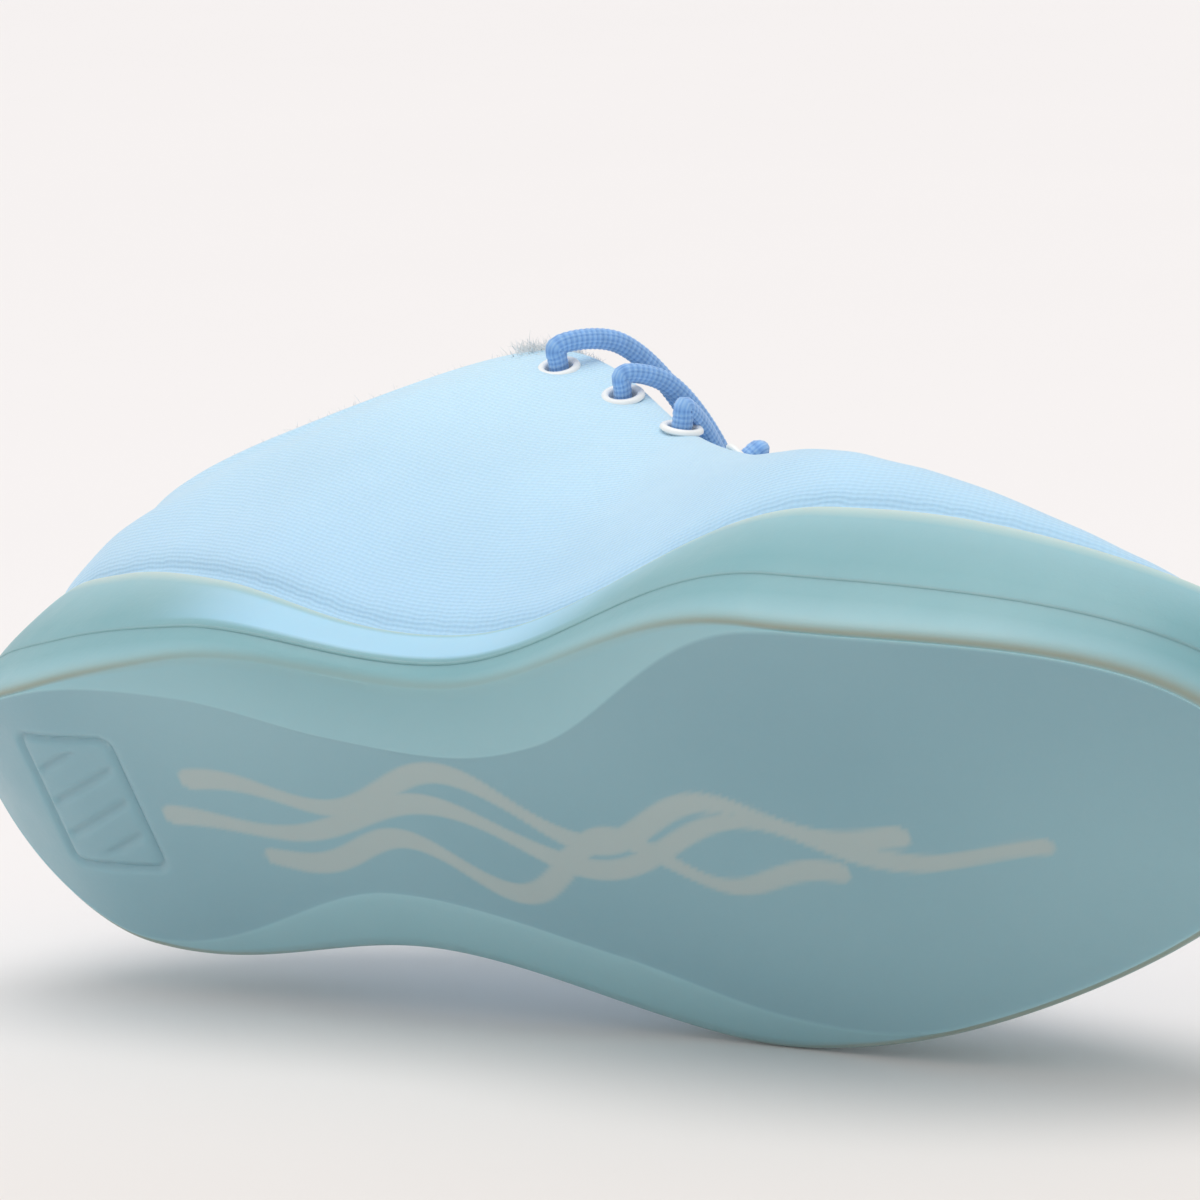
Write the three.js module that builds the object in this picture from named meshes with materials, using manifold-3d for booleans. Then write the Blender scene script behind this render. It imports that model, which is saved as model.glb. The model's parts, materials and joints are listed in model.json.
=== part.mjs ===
// Bowling shoe, left foot, low cut: a translucent rubber cup sole, a padded textile upper with a
// fleece collar roll, a laced throat over a padded tongue, and the layers that a shoe holds inside.
//
// Millimetres. +X points to the toe, +Y to the wearer's left (the outer side of this left shoe), +Z up.
// The flat of the sole lies in the plane z = 0.
//
// Every layer follows two families of curves. A sole ring is the outline of the sole, moved in by an
// inset and lifted to a height. The upper is one surface: each of its columns starts on the sole ring
// at an angle around the shoe and climbs a Bezier curve to the edge of the opening.

import * as THREE from 'three';
import { mergeVertices } from 'three/addons/utils/BufferGeometryUtils.js';
import Module from 'manifold-3d';

// ---------------------------------------------------------------- driving dimensions

// Outline of the sole on each side: half widths at heel end, heel, waist, ball and toe end.
const SOLE_LENGTH = 300;
const MEDIAL_OUTLINE = { stations: [-150, -79, -17, 62, 150], values: [46, 44.5, 34, 56, 61] };
const LATERAL_OUTLINE = { stations: [-150, -114, -47, 35, 150], values: [40.5, 47.5, 35, 53.9, 45] };
const OUTLINE_FULLNESS = 0.78;

// Rise of the sole off the floor at its two ends.
const TOE_SPRING = 19;
const TOE_SPRING_START = 48;
const HEEL_RISE = 14;
const HEEL_RISE_START = 112;

// Cup sole: wall heights from heel end to toe end, thicknesses and the edge.
const WALL_STATIONS = [-150, -128, -38, 76, 150];
const MEDIAL_WALL_HEIGHTS = { stations: WALL_STATIONS, values: [30, 37, 17, 36, 25] };
const LATERAL_WALL_HEIGHTS = { stations: WALL_STATIONS, values: [30, 37, 20, 34.5, 25] };
const WALL_THICKNESS = 4;
const FLOOR_THICKNESS = 5;
const EDGE_BEVEL = 3;
const WALL_LEAN = 1.6;
const LIP_WIDTH = 1.4;

// Scooped panels under the waist, one on each side.
const SCOOP_CENTRE = -25;
const SCOOP_LENGTH = 195;
const SCOOP_WIDTH = 14;
const SCOOP_RISE = 1.5;

// Layers in the cup, from the floor up.
const GRAPHIC_THICKNESS = 0.6;
const MIDSOLE_HEEL = 10;
const MIDSOLE_TOE = 4;
const BOARD_THICKNESS = 1.6;
const LINER_THICKNESS = 3.6;
const SHANK_LENGTH = 96;
const SHANK_WIDTH = 18;
const SHANK_THICKNESS = 1.2;
const HEEL_CUSHION_LENGTH = 46;
const HEEL_CUSHION_WIDTH = 36;
const HEEL_CUSHION_THICKNESS = 4;
const HEEL_CUSHION_X = -98;

// Layers of the upper, from the outside in.
const SHELL_THICKNESS = 1.4;
const FOAM_THICKNESS = 2.4;
const EYESTAY_THICKNESS = 0.9;
const COLLAR_PADDING = 4.6;
const LINING_THICKNESS = 0.9;

// Edge of the opening at equal angles around the shoe, from the throat back to the heel.
const OPENING = [
  [44, 0, 55], [42, 6, 55.7], [35, 12, 58.5], [18, 18, 69.5], [-14, 24, 92.5],
  [-57, 29.5, 112], [-99, 34, 77], [-131, 22, 68], [-142, 0, 70],
];

// Shape of a column of the upper at the toe, at the side and at the heel.
const FIRST_RISE = { toe: 5, side: 30, heel: 13 };
const FIRST_SWELL = { toe: -6, side: 6, heel: 5 };
const SHOULDER_REACH = { toe: 0.62, side: 0.7, heel: 0.1 };
const SHOULDER_DROP = { toe: 9, side: 6, heel: 14 };

// Tongue, from its stitched end under the vamp to its free top.
const TONGUE_BASE_X = 60;
const TONGUE_LINE = [[26, 52.5], [-8, 72.5], [-44, 97], [-76, 118]];
const TONGUE_HALF_WIDTHS = [15, 21];
const TONGUE_ARCHES = [4, 14];
const TONGUE_THICKNESS = { shell: 1.2, foam: 4, lining: 0.9 };

// Lacing.
const EYELET_PAIRS = 5;
const EYELET_PITCH = 18;
const EYELET_FIRST_X = -49;
const EYELET_EDGE_DISTANCE = 7;
const EYELET_HOLE_RADIUS = 2.7;
const EYELET_WALL = 0.6;
const EYELET_FLANGE_RADIUS = 4.3;
const EYELET_FLANGE_THICKNESS = 0.8;
const EYELET_LIFT = 0.8;
const EYELET_INNER_LIFT = 1.6;
const EYELET_RIM = 0.6;
const EYELET_CLINCH = 0.3;
const LACE_RADIUS = 1.6;
const LACE_ARCH = 1.5;
const LOOSE_LACE_ARCH = 7;
const LACE_LIFT = 2;
const LACE_TURN = 3.6;
const LACE_STRAIGHT = 2;
const AGLET_LENGTH = 16;
const FRONT_TAIL = [[9, 9, -19], [4, 6, -8]];
const REAR_TAIL = [[3, 3, -9], [8, 2.9, -19]];

// Fleece roll on the collar.
const FLEECE_RADIUS = 4.6;
const FLEECE_FIRST_ANGLE = 122;

// Clearances.
const GAP = 0.3;
const SEAM_GAP = 0.35;
const HOLE_CLEARANCE = 0.45;
const LINER_CLEARANCE = 1;

// How finely the surfaces are divided.
const COLUMNS = 48;
const ROWS = 9;
const EYELET_SEGMENTS = 10;

// ---------------------------------------------------------------- small helpers

const wasm = await Module();
wasm.setup();

const TURN = 2 * Math.PI;
const degrees = (angle) => (angle * Math.PI) / 180;
const smooth = (t) => {
  const s = THREE.MathUtils.clamp(t, 0, 1);
  return s * s * (3 - 2 * s);
};

// Smooth steps between the values at the stations.
function alongSole({ stations, values }, x) {
  let value = values[0];
  for (let k = 1; k < stations.length; k += 1) {
    const t = (x - stations[k - 1]) / (stations[k] - stations[k - 1]);
    value += (values[k] - values[k - 1]) * smooth(t);
  }
  return value;
}

// Mixes the toe, side and heel values of a column by its angle around the shoe.
function aroundShoe({ toe, side, heel }, angle) {
  const c = Math.cos(angle);
  const s = Math.sin(angle);
  return toe * Math.max(c, 0) ** 2 + heel * Math.max(-c, 0) ** 2 + side * s * s;
}

function manifoldOf(geometry) {
  const bare = geometry.clone();
  bare.deleteAttribute('normal');
  bare.deleteAttribute('uv');
  const merged = mergeVertices(bare, 1e-4);
  const mesh = new wasm.Mesh({
    numProp: 3,
    vertProperties: Float32Array.from(merged.attributes.position.array),
    triVerts: Uint32Array.from(merged.index.array),
  });
  return new wasm.Manifold(mesh);
}

function geometryOf(manifold) {
  const mesh = manifold.getMesh();
  const geometry = new THREE.BufferGeometry();
  geometry.setAttribute('position', new THREE.BufferAttribute(Float32Array.from(mesh.vertProperties), 3));
  geometry.setIndex(Array.from(mesh.triVerts));
  return geometry;
}

function cut(geometry, tools) {
  let solid = manifoldOf(geometry);
  for (const tool of tools) {
    solid = solid.subtract(manifoldOf(tool));
  }
  return geometryOf(solid);
}

// A closed body from points and triangles, turned so that its faces point out.
function closedBody(points, triangles) {
  let volume = 0;
  const cross = new THREE.Vector3();
  for (const [a, b, c] of triangles) {
    volume += points[a].dot(cross.crossVectors(points[b], points[c]));
  }
  const faces = volume > 0 ? triangles : triangles.map(([a, b, c]) => [a, c, b]);
  const geometry = new THREE.BufferGeometry().setFromPoints(points);
  geometry.setIndex(faces.flat());
  geometry.computeVertexNormals();
  return geometry;
}

// ---------------------------------------------------------------- sole rings

function restHeight(x) {
  const toe = Math.max(0, x - TOE_SPRING_START) / (SOLE_LENGTH / 2 - TOE_SPRING_START);
  const heel = Math.max(0, -x - HEEL_RISE_START) / (SOLE_LENGTH / 2 - HEEL_RISE_START);
  return TOE_SPRING * toe ** 2.2 + HEEL_RISE * heel ** 2;
}

const isLateral = (angle) => Math.sin(angle) > 0;

function wallHeight(angle) {
  const x = (SOLE_LENGTH / 2) * Math.cos(angle);
  return alongSole(isLateral(angle) ? LATERAL_WALL_HEIGHTS : MEDIAL_WALL_HEIGHTS, x);
}

function solePoint(angle, inset, height) {
  const x = (SOLE_LENGTH / 2 - inset) * Math.cos(angle);
  const halfWidth = alongSole(isLateral(angle) ? LATERAL_OUTLINE : MEDIAL_OUTLINE, x);
  const y = Math.sign(Math.sin(angle)) * (halfWidth - inset) * Math.abs(Math.sin(angle)) ** OUTLINE_FULLNESS;
  return new THREE.Vector3(x, y, restHeight(x) + height);
}

// inset and height are numbers or functions of the angle.
function soleRing(inset, height) {
  const valueAt = (value, angle) => (typeof value === 'function' ? value(angle) : value);
  return Array.from({ length: COLUMNS }, (_, i) => {
    const angle = i === COLUMNS / 2 ? Math.PI : (TURN * i) / COLUMNS;
    const point = solePoint(angle, valueAt(inset, angle), valueAt(height, angle));
    if (i % (COLUMNS / 2) === 0) point.y = 0;
    return point;
  });
}

// A body from rings stacked bottom to top, with a flat strip cap at each end.
function ringBody(rings) {
  const points = rings.flat();
  const triangles = [];
  for (let r = 0; r + 1 < rings.length; r += 1) {
    for (let i = 0; i < COLUMNS; i += 1) {
      const a = r * COLUMNS + i;
      const b = r * COLUMNS + ((i + 1) % COLUMNS);
      triangles.push([a, b, b + COLUMNS], [a, b + COLUMNS, a + COLUMNS]);
    }
  }
  const cap = (start, flip) => {
    for (let i = 0; i < COLUMNS / 2; i += 1) {
      const near = [start + i, start + i + 1];
      const far = [start + ((COLUMNS - i) % COLUMNS), start + COLUMNS - i - 1];
      const strip = [];
      if (near[1] !== far[1]) strip.push([near[0], far[1], near[1]]);
      if (near[0] !== far[0]) strip.push([near[0], far[0], far[1]]);
      strip.forEach(([a, b, c]) => triangles.push(flip ? [a, c, b] : [a, b, c]));
    }
  };
  cap(0, false);
  cap((rings.length - 1) * COLUMNS, true);
  return closedBody(points, triangles);
}

const plate = (inset, low, high) => ringBody([soleRing(inset, low), soleRing(inset, high)]);

function scoop(angle) {
  const x = (SOLE_LENGTH / 2) * Math.cos(angle);
  return smooth(1.4 * (1 - Math.abs(x - SCOOP_CENTRE) / (SCOOP_LENGTH / 2)));
}

function midsoleThickness(x) {
  return MIDSOLE_HEEL + (MIDSOLE_TOE - MIDSOLE_HEEL) * smooth((x + 62) / 110);
}

const GRAPHIC_LOW = FLOOR_THICKNESS + GAP;
const MIDSOLE_LOW = GRAPHIC_LOW + GRAPHIC_THICKNESS + GAP;
const midsoleTop = (x) => MIDSOLE_LOW + midsoleThickness(x);
const midsoleTopAt = (angle) => midsoleTop((SOLE_LENGTH / 2) * Math.cos(angle));
const UPPER_INSET = WALL_THICKNESS + GAP;

function makeCupsole() {
  const lipInset = WALL_LEAN + LIP_WIDTH;
  return ringBody([
    soleRing((a) => EDGE_BEVEL + SCOOP_WIDTH * scoop(a), 0),
    soleRing((a) => EDGE_BEVEL - 0.4 * scoop(a), (a) => 0.3 + SCOOP_RISE * scoop(a)),
    soleRing(1, (a) => 2.2 + SCOOP_RISE * scoop(a)),
    soleRing(0, (a) => 0.45 * wallHeight(a) + 0.4 * SCOOP_RISE * scoop(a)),
    soleRing(0.5, (a) => 0.75 * wallHeight(a)),
    soleRing(WALL_LEAN, (a) => wallHeight(a) - 0.8),
    soleRing(lipInset, (a) => wallHeight(a)),
    soleRing(WALL_THICKNESS, (a) => wallHeight(a) - 0.5),
    soleRing(WALL_THICKNESS, (a) => FLOOR_THICKNESS + SCOOP_RISE * scoop(a) * 0.5),
    soleRing((a) => WALL_THICKNESS + GAP + SCOOP_WIDTH * scoop(a), FLOOR_THICKNESS),
  ]);
}

// Layers inside the cup stay clear of the raised edge of its floor over the scoops.
const floorInset = (a) => UPPER_INSET + (SCOOP_WIDTH + 2) * scoop(a);

function makeMidsole() {
  const body = ringBody([
    soleRing(floorInset, MIDSOLE_LOW),
    soleRing(UPPER_INSET, (a) => MIDSOLE_LOW + 1 + SCOOP_RISE * scoop(a) * 0.6),
    soleRing(UPPER_INSET, midsoleTopAt),
  ]);
  return cut(body, [makeShank(HOLE_CLEARANCE), makeHeelCushion(HOLE_CLEARANCE)]);
}

// A springy strip let into the top of the midsole, following its slope.
function makeShank(margin = 0) {
  const steps = 10;
  const half = SHANK_LENGTH / 2 + margin;
  const width = SHANK_WIDTH / 2 + margin;
  const points = [];
  for (let k = 0; k <= steps; k += 1) {
    const x = SCOOP_CENTRE + 6 + half * ((2 * k) / steps - 1);
    const top = midsoleTop(x) - 0.1 + (margin > 0 ? 1 : 0);
    const low = midsoleTop(x) - 0.1 - SHANK_THICKNESS - margin;
    points.push(new THREE.Vector3(x, -width, low), new THREE.Vector3(x, width, low));
    points.push(new THREE.Vector3(x, width, top), new THREE.Vector3(x, -width, top));
  }
  const triangles = [];
  for (let k = 0; k < steps; k += 1) {
    for (let side = 0; side < 4; side += 1) {
      const a = 4 * k + side;
      const b = 4 * k + ((side + 1) % 4);
      triangles.push([a, b, b + 4], [a, b + 4, a + 4]);
    }
  }
  const end = 4 * steps;
  triangles.push([0, 2, 1], [0, 3, 2], [end, end + 1, end + 2], [end, end + 2, end + 3]);
  return closedBody(points, triangles);
}

function makeHeelCushion(margin = 0) {
  const height = HEEL_CUSHION_THICKNESS + (margin > 0 ? margin + 1 : 0);
  const geometry = new THREE.CylinderGeometry(1, 1, height, 28);
  geometry.rotateX(Math.PI / 2);
  geometry.scale(HEEL_CUSHION_LENGTH / 2 + margin, HEEL_CUSHION_WIDTH / 2 + margin, 1);
  const low = midsoleTop(HEEL_CUSHION_X) - 0.1 - HEEL_CUSHION_THICKNESS - margin;
  geometry.translate(HEEL_CUSHION_X, 0, low + height / 2);
  return geometry;
}


// ---------------------------------------------------------------- the surface of the upper

const openingCurve = new THREE.CatmullRomCurve3(
  [...OPENING, ...OPENING.slice(1, -1).reverse().map(([x, y, z]) => [x, -y, z])]
    .map(([x, y, z]) => new THREE.Vector3(x, y, z)),
  true, 'catmullrom', 0.5,
);

function upperColumn(angle) {
  const foot = solePoint(angle, UPPER_INSET, midsoleTopAt(angle) + GAP);
  const lip = solePoint(angle, UPPER_INSET, wallHeight(angle) + 0.4);
  const edge = openingCurve.getPoint((angle / TURN) % 1);
  const out = new THREE.Vector3(Math.cos(angle), Math.sin(angle), 0);
  const first = lip.clone().addScaledVector(out, aroundShoe(FIRST_SWELL, angle));
  first.z += aroundShoe(FIRST_RISE, angle);
  const shoulder = edge.clone().lerp(lip, aroundShoe(SHOULDER_REACH, angle));
  shoulder.z = edge.z - aroundShoe(SHOULDER_DROP, angle);
  return { foot, climb: new THREE.CubicBezierCurve3(lip, first, shoulder, edge) };
}

// Points of the outer surface: row 0 at the foot of the upper, row 1 at the lip, the last at the edge.
function upperGrid() {
  const grid = [];
  for (let i = 0; i < COLUMNS; i += 1) {
    const { foot, climb } = upperColumn((TURN * i) / COLUMNS);
    const column = [foot];
    for (let row = 1; row < ROWS; row += 1) {
      column.push(climb.getPoint((row - 1) / (ROWS - 2)));
    }
    grid.push(column);
  }
  return grid;
}

// Unit normals of a grid, taken across its neighbours; wraps says whether its columns close.
function gridNormals(grid, wraps) {
  const n = grid.length;
  const at = (i) => (wraps ? grid[(i + n) % n] : grid[THREE.MathUtils.clamp(i, 0, n - 1)]);
  return grid.map((column, i) => column.map((_, row) => {
    const low = Math.max(row - 1, 0);
    const high = Math.min(row + 1, column.length - 1);
    const along = at(i + 1)[row].clone().sub(at(i - 1)[row]);
    const up = column[high].clone().sub(column[low]);
    return along.cross(up).normalize();
  }));
}

const outer = upperGrid();
const outerNormals = gridNormals(outer, true);

// Thickness of the middle layer: thin at the eyestay, thick round the collar.
function middleThickness(column, row) {
  const angle = Math.abs(((column / COLUMNS) * 360 + 180) % 360 - 180);
  const nearEdge = smooth((row - 4) / 2);
  const collar = smooth((angle - 120) / 18);
  const atEdge = EYESTAY_THICKNESS + (COLLAR_PADDING - EYESTAY_THICKNESS) * collar;
  return FOAM_THICKNESS + (atEdge - FOAM_THICKNESS) * nearEdge;
}

const shellDepth = () => SHELL_THICKNESS;
const middleTopDepth = () => SHELL_THICKNESS + GAP;
const middleLowDepth = (i, row) => middleTopDepth() + middleThickness(i, row);
const liningTopDepth = (i, row) => middleLowDepth(i, row) + GAP;
const liningLowDepth = (i, row) => liningTopDepth(i, row) + LINING_THICKNESS;

function offsetNode(grid, normals, i, row, depth) {
  const column = (i + grid.length) % grid.length;
  return grid[column][row].clone().addScaledVector(normals[column][row], -depth(column, row));
}

// A point between grid nodes, on the flat facets that join them.
function offsetPoint(grid, normals, i, row, depth) {
  const i0 = Math.floor(i + 1e-9);
  const r0 = Math.min(Math.floor(row + 1e-9), grid[0].length - 2);
  const node = (a, b) => offsetNode(grid, normals, a, b, depth);
  const low = node(i0, r0).lerp(node(i0 + 1, r0), i - i0);
  const high = node(i0, r0 + 1).lerp(node(i0 + 1, r0 + 1), i - i0);
  return low.lerp(high, row - r0);
}

// Whole grid lines between two positions, with the two ends drawn in by a share of a cell.
function gridLines(from, to, drawIn) {
  const lines = [from + drawIn];
  for (let k = Math.floor(from) + 1; k < to - 1e-9; k += 1) lines.push(k);
  lines.push(to - drawIn);
  return lines;
}

// A layer between two depths below a grid. columns and rows are [from, to]; a full turn closes on itself.
function layer(grid, normals, columns, rows, topDepth, lowDepth, drawIn = 0.05) {
  const closes = columns[1] - columns[0] >= grid.length;
  const across = closes
    ? Array.from({ length: grid.length }, (_, k) => k)
    : gridLines(columns[0], columns[1], drawIn);
  const up = gridLines(rows[0], rows[1], 0);
  if (rows[0] > 0) up[0] += drawIn;
  if (rows[1] < grid[0].length - 1) up[up.length - 1] -= drawIn;
  const points = [];
  for (const depth of [topDepth, lowDepth]) {
    for (const i of across) {
      for (const row of up) {
        points.push(offsetPoint(grid, normals, i, row, depth));
      }
    }
  }
  const m = up.length;
  const n = across.length;
  const id = (side, i, row) => side * n * m + (i % n) * m + row;
  const quad = (a, b, c, d) => [[a, b, c], [a, c, d]];
  const triangles = [];
  const spans = closes ? n : n - 1;
  for (let i = 0; i < spans; i += 1) {
    for (let row = 0; row + 1 < m; row += 1) {
      triangles.push(...quad(id(0, i, row), id(0, i + 1, row), id(0, i + 1, row + 1), id(0, i, row + 1)));
      triangles.push([id(1, i, row), id(1, i + 1, row + 1), id(1, i + 1, row)]);
      triangles.push([id(1, i, row), id(1, i, row + 1), id(1, i + 1, row + 1)]);
    }
    triangles.push(...quad(id(1, i, 0), id(1, i + 1, 0), id(0, i + 1, 0), id(0, i, 0)));
    triangles.push(...quad(id(0, i, m - 1), id(0, i + 1, m - 1), id(1, i + 1, m - 1), id(1, i, m - 1)));
  }
  if (!closes) {
    for (let row = 0; row + 1 < m; row += 1) {
      triangles.push(...quad(id(0, 0, row), id(0, 0, row + 1), id(1, 0, row + 1), id(1, 0, row)));
      triangles.push(...quad(id(1, n - 1, row), id(1, n - 1, row + 1), id(0, n - 1, row + 1), id(0, n - 1, row)));
    }
  }
  return closedBody(points, triangles);
}

// A ring inside the foot of the lining, at a height above the top of the midsole.
function insideRing(clearance, height) {
  const depth = (i, row) => liningLowDepth(i, row) + clearance;
  return outer.map((_, i) => {
    const point = offsetNode(outer, outerNormals, i, 0, depth);
    point.z = restHeight(point.x) + midsoleTop(point.x) + height;
    return point;
  });
}

function makeBoard() {
  return ringBody([insideRing(SEAM_GAP, GAP), insideRing(SEAM_GAP, GAP + BOARD_THICKNESS)]);
}

function makeSockLiner() {
  const low = 2 * GAP + BOARD_THICKNESS;
  return ringBody([
    insideRing(LINER_CLEARANCE + 1, low),
    insideRing(LINER_CLEARANCE, low + 1),
    insideRing(LINER_CLEARANCE, low + LINER_THICKNESS - 0.8),
    insideRing(LINER_CLEARANCE + 1, low + LINER_THICKNESS),
  ]);
}

// Columns of the grid at an angle around the shoe.
const columnAt = (angle) => Math.round((angle / 360) * COLUMNS);
const TOP_ROW = ROWS - 1;

function upperLayer(columns, rows, topDepth, lowDepth) {
  return cut(layer(outer, outerNormals, columns, rows, topDepth, lowDepth), eyeletHoles);
}

// ---------------------------------------------------------------- eyelets

// Places of the eyelets: on the outer surface, a set distance from the edge of the throat.
function eyeletPlaces() {
  const places = [];
  for (const side of [-1, 1]) {
    for (let k = 0; k < EYELET_PAIRS; k += 1) {
      const x = EYELET_FIRST_X + k * EYELET_PITCH;
      places.push({ side, k, ...surfaceNearEdge(side, x) });
    }
  }
  return places;
}

const onSurface = (i, row) => offsetPoint(outer, outerNormals, i, row, () => 0);

// The point of the outer surface beside the throat edge at x, the normal there and the edge itself.
function surfaceNearEdge(side, x) {
  let best = null;
  for (let angle = 40; angle <= 125; angle += 0.5) {
    const i = ((side > 0 ? angle : 360 - angle) / 360) * COLUMNS;
    const edge = onSurface(i, TOP_ROW);
    let row = TOP_ROW;
    while (row > 4 && onSurface(i, row).distanceTo(edge) < EYELET_EDGE_DISTANCE) row -= 0.05;
    const point = onSurface(i, row);
    const miss = Math.abs(point.x - x);
    if (!best || miss < best.miss) best = { miss, point, edge, i, row };
  }
  const below = offsetPoint(outer, outerNormals, best.i, best.row, () => 1);
  const normal = best.point.clone().sub(below).normalize();
  return { point: best.point, normal, edge: best.edge };
}

const EYESTAY_DEPTH = SHELL_THICKNESS + EYESTAY_THICKNESS + LINING_THICKNESS + 2 * GAP;
const eyelets = eyeletPlaces();

function alongNormal(geometry, { point, normal }) {
  geometry.applyQuaternion(new THREE.Quaternion().setFromUnitVectors(new THREE.Vector3(0, 1, 0), normal));
  geometry.translate(point.x, point.y, point.z);
  return geometry;
}

const eyeletHoles = eyelets.map((place) => {
  const radius = EYELET_HOLE_RADIUS + EYELET_WALL + HOLE_CLEARANCE;
  return alongNormal(new THREE.CylinderGeometry(radius, radius, 24, EYELET_SEGMENTS), place);
});

// A rolled ring with a flange on the outside and a smaller one on the inside of the eyestay.
function makeEyelet(place) {
  const top = EYELET_LIFT + EYELET_FLANGE_THICKNESS;
  const low = -EYESTAY_DEPTH - EYELET_INNER_LIFT;
  const barrel = EYELET_HOLE_RADIUS + EYELET_WALL;
  const clinch = barrel + EYELET_CLINCH;
  const profile = [
    [EYELET_HOLE_RADIUS, low - EYELET_RIM], [clinch, low - EYELET_RIM], [clinch, low], [barrel, low],
    [barrel, EYELET_LIFT], [EYELET_FLANGE_RADIUS, EYELET_LIFT], [EYELET_FLANGE_RADIUS - EYELET_RIM, top],
    [EYELET_HOLE_RADIUS, top], [EYELET_HOLE_RADIUS, low - EYELET_RIM],
  ];
  const points = profile.map(([r, h]) => new THREE.Vector2(r, h));
  const ring = geometryOf(manifoldOf(new THREE.LatheGeometry(points, EYELET_SEGMENTS)));
  return alongNormal(ring, place);
}

// ---------------------------------------------------------------- lace

// The lace is threaded as one run: a bar across each pair of eyelets, and a short run inside the
// eyestay from each pair to the next. Its two ends are tucked inside the throat.
function lacePoints() {
  const at = (side, k, height) => {
    const { point, normal } = eyelets.find((place) => place.side === side && place.k === k);
    return point.clone().addScaledVector(normal, height);
  };
  const overEdge = (side, k) => {
    const point = eyelets.find((place) => place.side === side && place.k === k).edge.clone();
    point.z += LACE_RADIUS + LACE_LIFT;
    return point;
  };
  const innerEnd = -EYESTAY_DEPTH - EYELET_INNER_LIFT - EYELET_RIM;
  const inner = innerEnd - LACE_TURN;
  const through = [innerEnd - LACE_STRAIGHT, innerEnd - LACE_STRAIGHT / 2, 2.8, 5];
  const points = [];
  let side = 1;
  const last = EYELET_PAIRS - 1;
  const tail = (k, [x, y, z]) => at(side, k, inner).add(new THREE.Vector3(x, side * y, z));
  FRONT_TAIL.forEach((step) => points.push(tail(last, step)));
  for (let k = last; k >= 0; k -= 1) {
    points.push(...through.map((height) => at(side, k, height)));
    const middle = overEdge(side, k).lerp(overEdge(-side, k), 0.5);
    middle.z += k < 2 ? LOOSE_LACE_ARCH : LACE_ARCH;
    points.push(overEdge(side, k), middle, overEdge(-side, k));
    points.push(...through.map((height) => at(-side, k, height)).reverse());
    side = -side;
    if (k > 0) points.push(at(side, k, inner).lerp(at(side, k - 1, inner), 0.5));
  }
  REAR_TAIL.forEach((step) => points.push(tail(0, step)));
  return points;
}

function tube(points, radius, sides, steps) {
  const section = new THREE.Shape();
  for (let k = 0; k < sides; k += 1) {
    const x = radius * Math.cos((TURN * k) / sides);
    const y = radius * Math.sin((TURN * k) / sides);
    if (k === 0) section.moveTo(x, y);
    else section.lineTo(x, y);
  }
  const path = new THREE.CatmullRomCurve3(points, false, 'centripetal');
  // Equal steps between the points keep the tight turns as fine as the long runs.
  path.getPointAt = (u, target) => path.getPoint(u, target);
  path.getTangentAt = (u, target) => path.getTangent(u, target);
  return new THREE.ExtrudeGeometry(section, { steps, bevelEnabled: false, extrudePath: path });
}

function makeAglet(tip, inward) {
  const axis = tip.clone().sub(inward).normalize();
  const geometry = new THREE.CylinderGeometry(LACE_RADIUS * 0.75, LACE_RADIUS * 0.75, AGLET_LENGTH, 10);
  const point = tip.clone().addScaledVector(axis, AGLET_LENGTH / 2 + GAP);
  return alongNormal(geometry, { point, normal: axis });
}

// ---------------------------------------------------------------- fleece roll

// The roll sits on the edge of the collar, over the middle of its padding.
function makeFleece() {
  const points = [];
  const step = 360 / COLUMNS;
  for (let angle = FLEECE_FIRST_ANGLE; angle <= 360 - FLEECE_FIRST_ANGLE + 1e-6; angle += step) {
    const i = (angle / 360) * COLUMNS;
    const depth = (column, row) => liningLowDepth(column, row) / 2;
    const edge = offsetPoint(outer, outerNormals, i, TOP_ROW, depth);
    const below = offsetPoint(outer, outerNormals, i, TOP_ROW - 1, depth);
    const ahead = offsetPoint(outer, outerNormals, i + 1, TOP_ROW, depth);
    const behind = offsetPoint(outer, outerNormals, i - 1, TOP_ROW, depth);
    const run = ahead.sub(behind).normalize();
    const up = edge.clone().sub(below);
    up.addScaledVector(run, -up.dot(run)).normalize();
    points.push(edge.addScaledVector(up, FLEECE_RADIUS + GAP + 0.5));
  }
  return tube(points, FLEECE_RADIUS, 10, points.length);
}

// ---------------------------------------------------------------- tongue

// Columns across the tongue, rows along it from the stitched base to the top.
function tongueGrid() {
  const across = 10;
  const along = 9;
  const base = vampInside(TONGUE_BASE_X);
  const line = [[base.x, base.z - SEAM_GAP], ...TONGUE_LINE].map(([x, z]) => new THREE.Vector2(x, z));
  const centreLine = new THREE.SplineCurve(line);
  const mix = ([from, to], t) => from + (to - from) * t;
  return Array.from({ length: across + 1 }, (_, i) => {
    const w = (2 * i) / across - 1;
    return Array.from({ length: along + 1 }, (__, row) => {
      const t = row / along;
      const centre = centreLine.getPoint(t);
      const y = w * mix(TONGUE_HALF_WIDTHS, t);
      return new THREE.Vector3(centre.x, y, centre.y - mix(TONGUE_ARCHES, t) * w * w);
    });
  });
}

// The middle of the vamp's inner surface at x.
function vampInside(x) {
  let row = TOP_ROW;
  while (offsetPoint(outer, outerNormals, 0, row, liningLowDepth).x < x) row -= 0.02;
  return offsetPoint(outer, outerNormals, 0, row, liningLowDepth);
}

const tongue = tongueGrid();
const tongueNormals = gridNormals(tongue, false);

function tongueLayer(top, low) {
  const columns = [0, tongue.length - 1];
  const rows = [0, tongue[0].length - 1];
  return layer(tongue, tongueNormals, columns, rows, () => top, () => low, 0);
}

// ---------------------------------------------------------------- assembly

const shoe = new THREE.Group();

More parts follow.
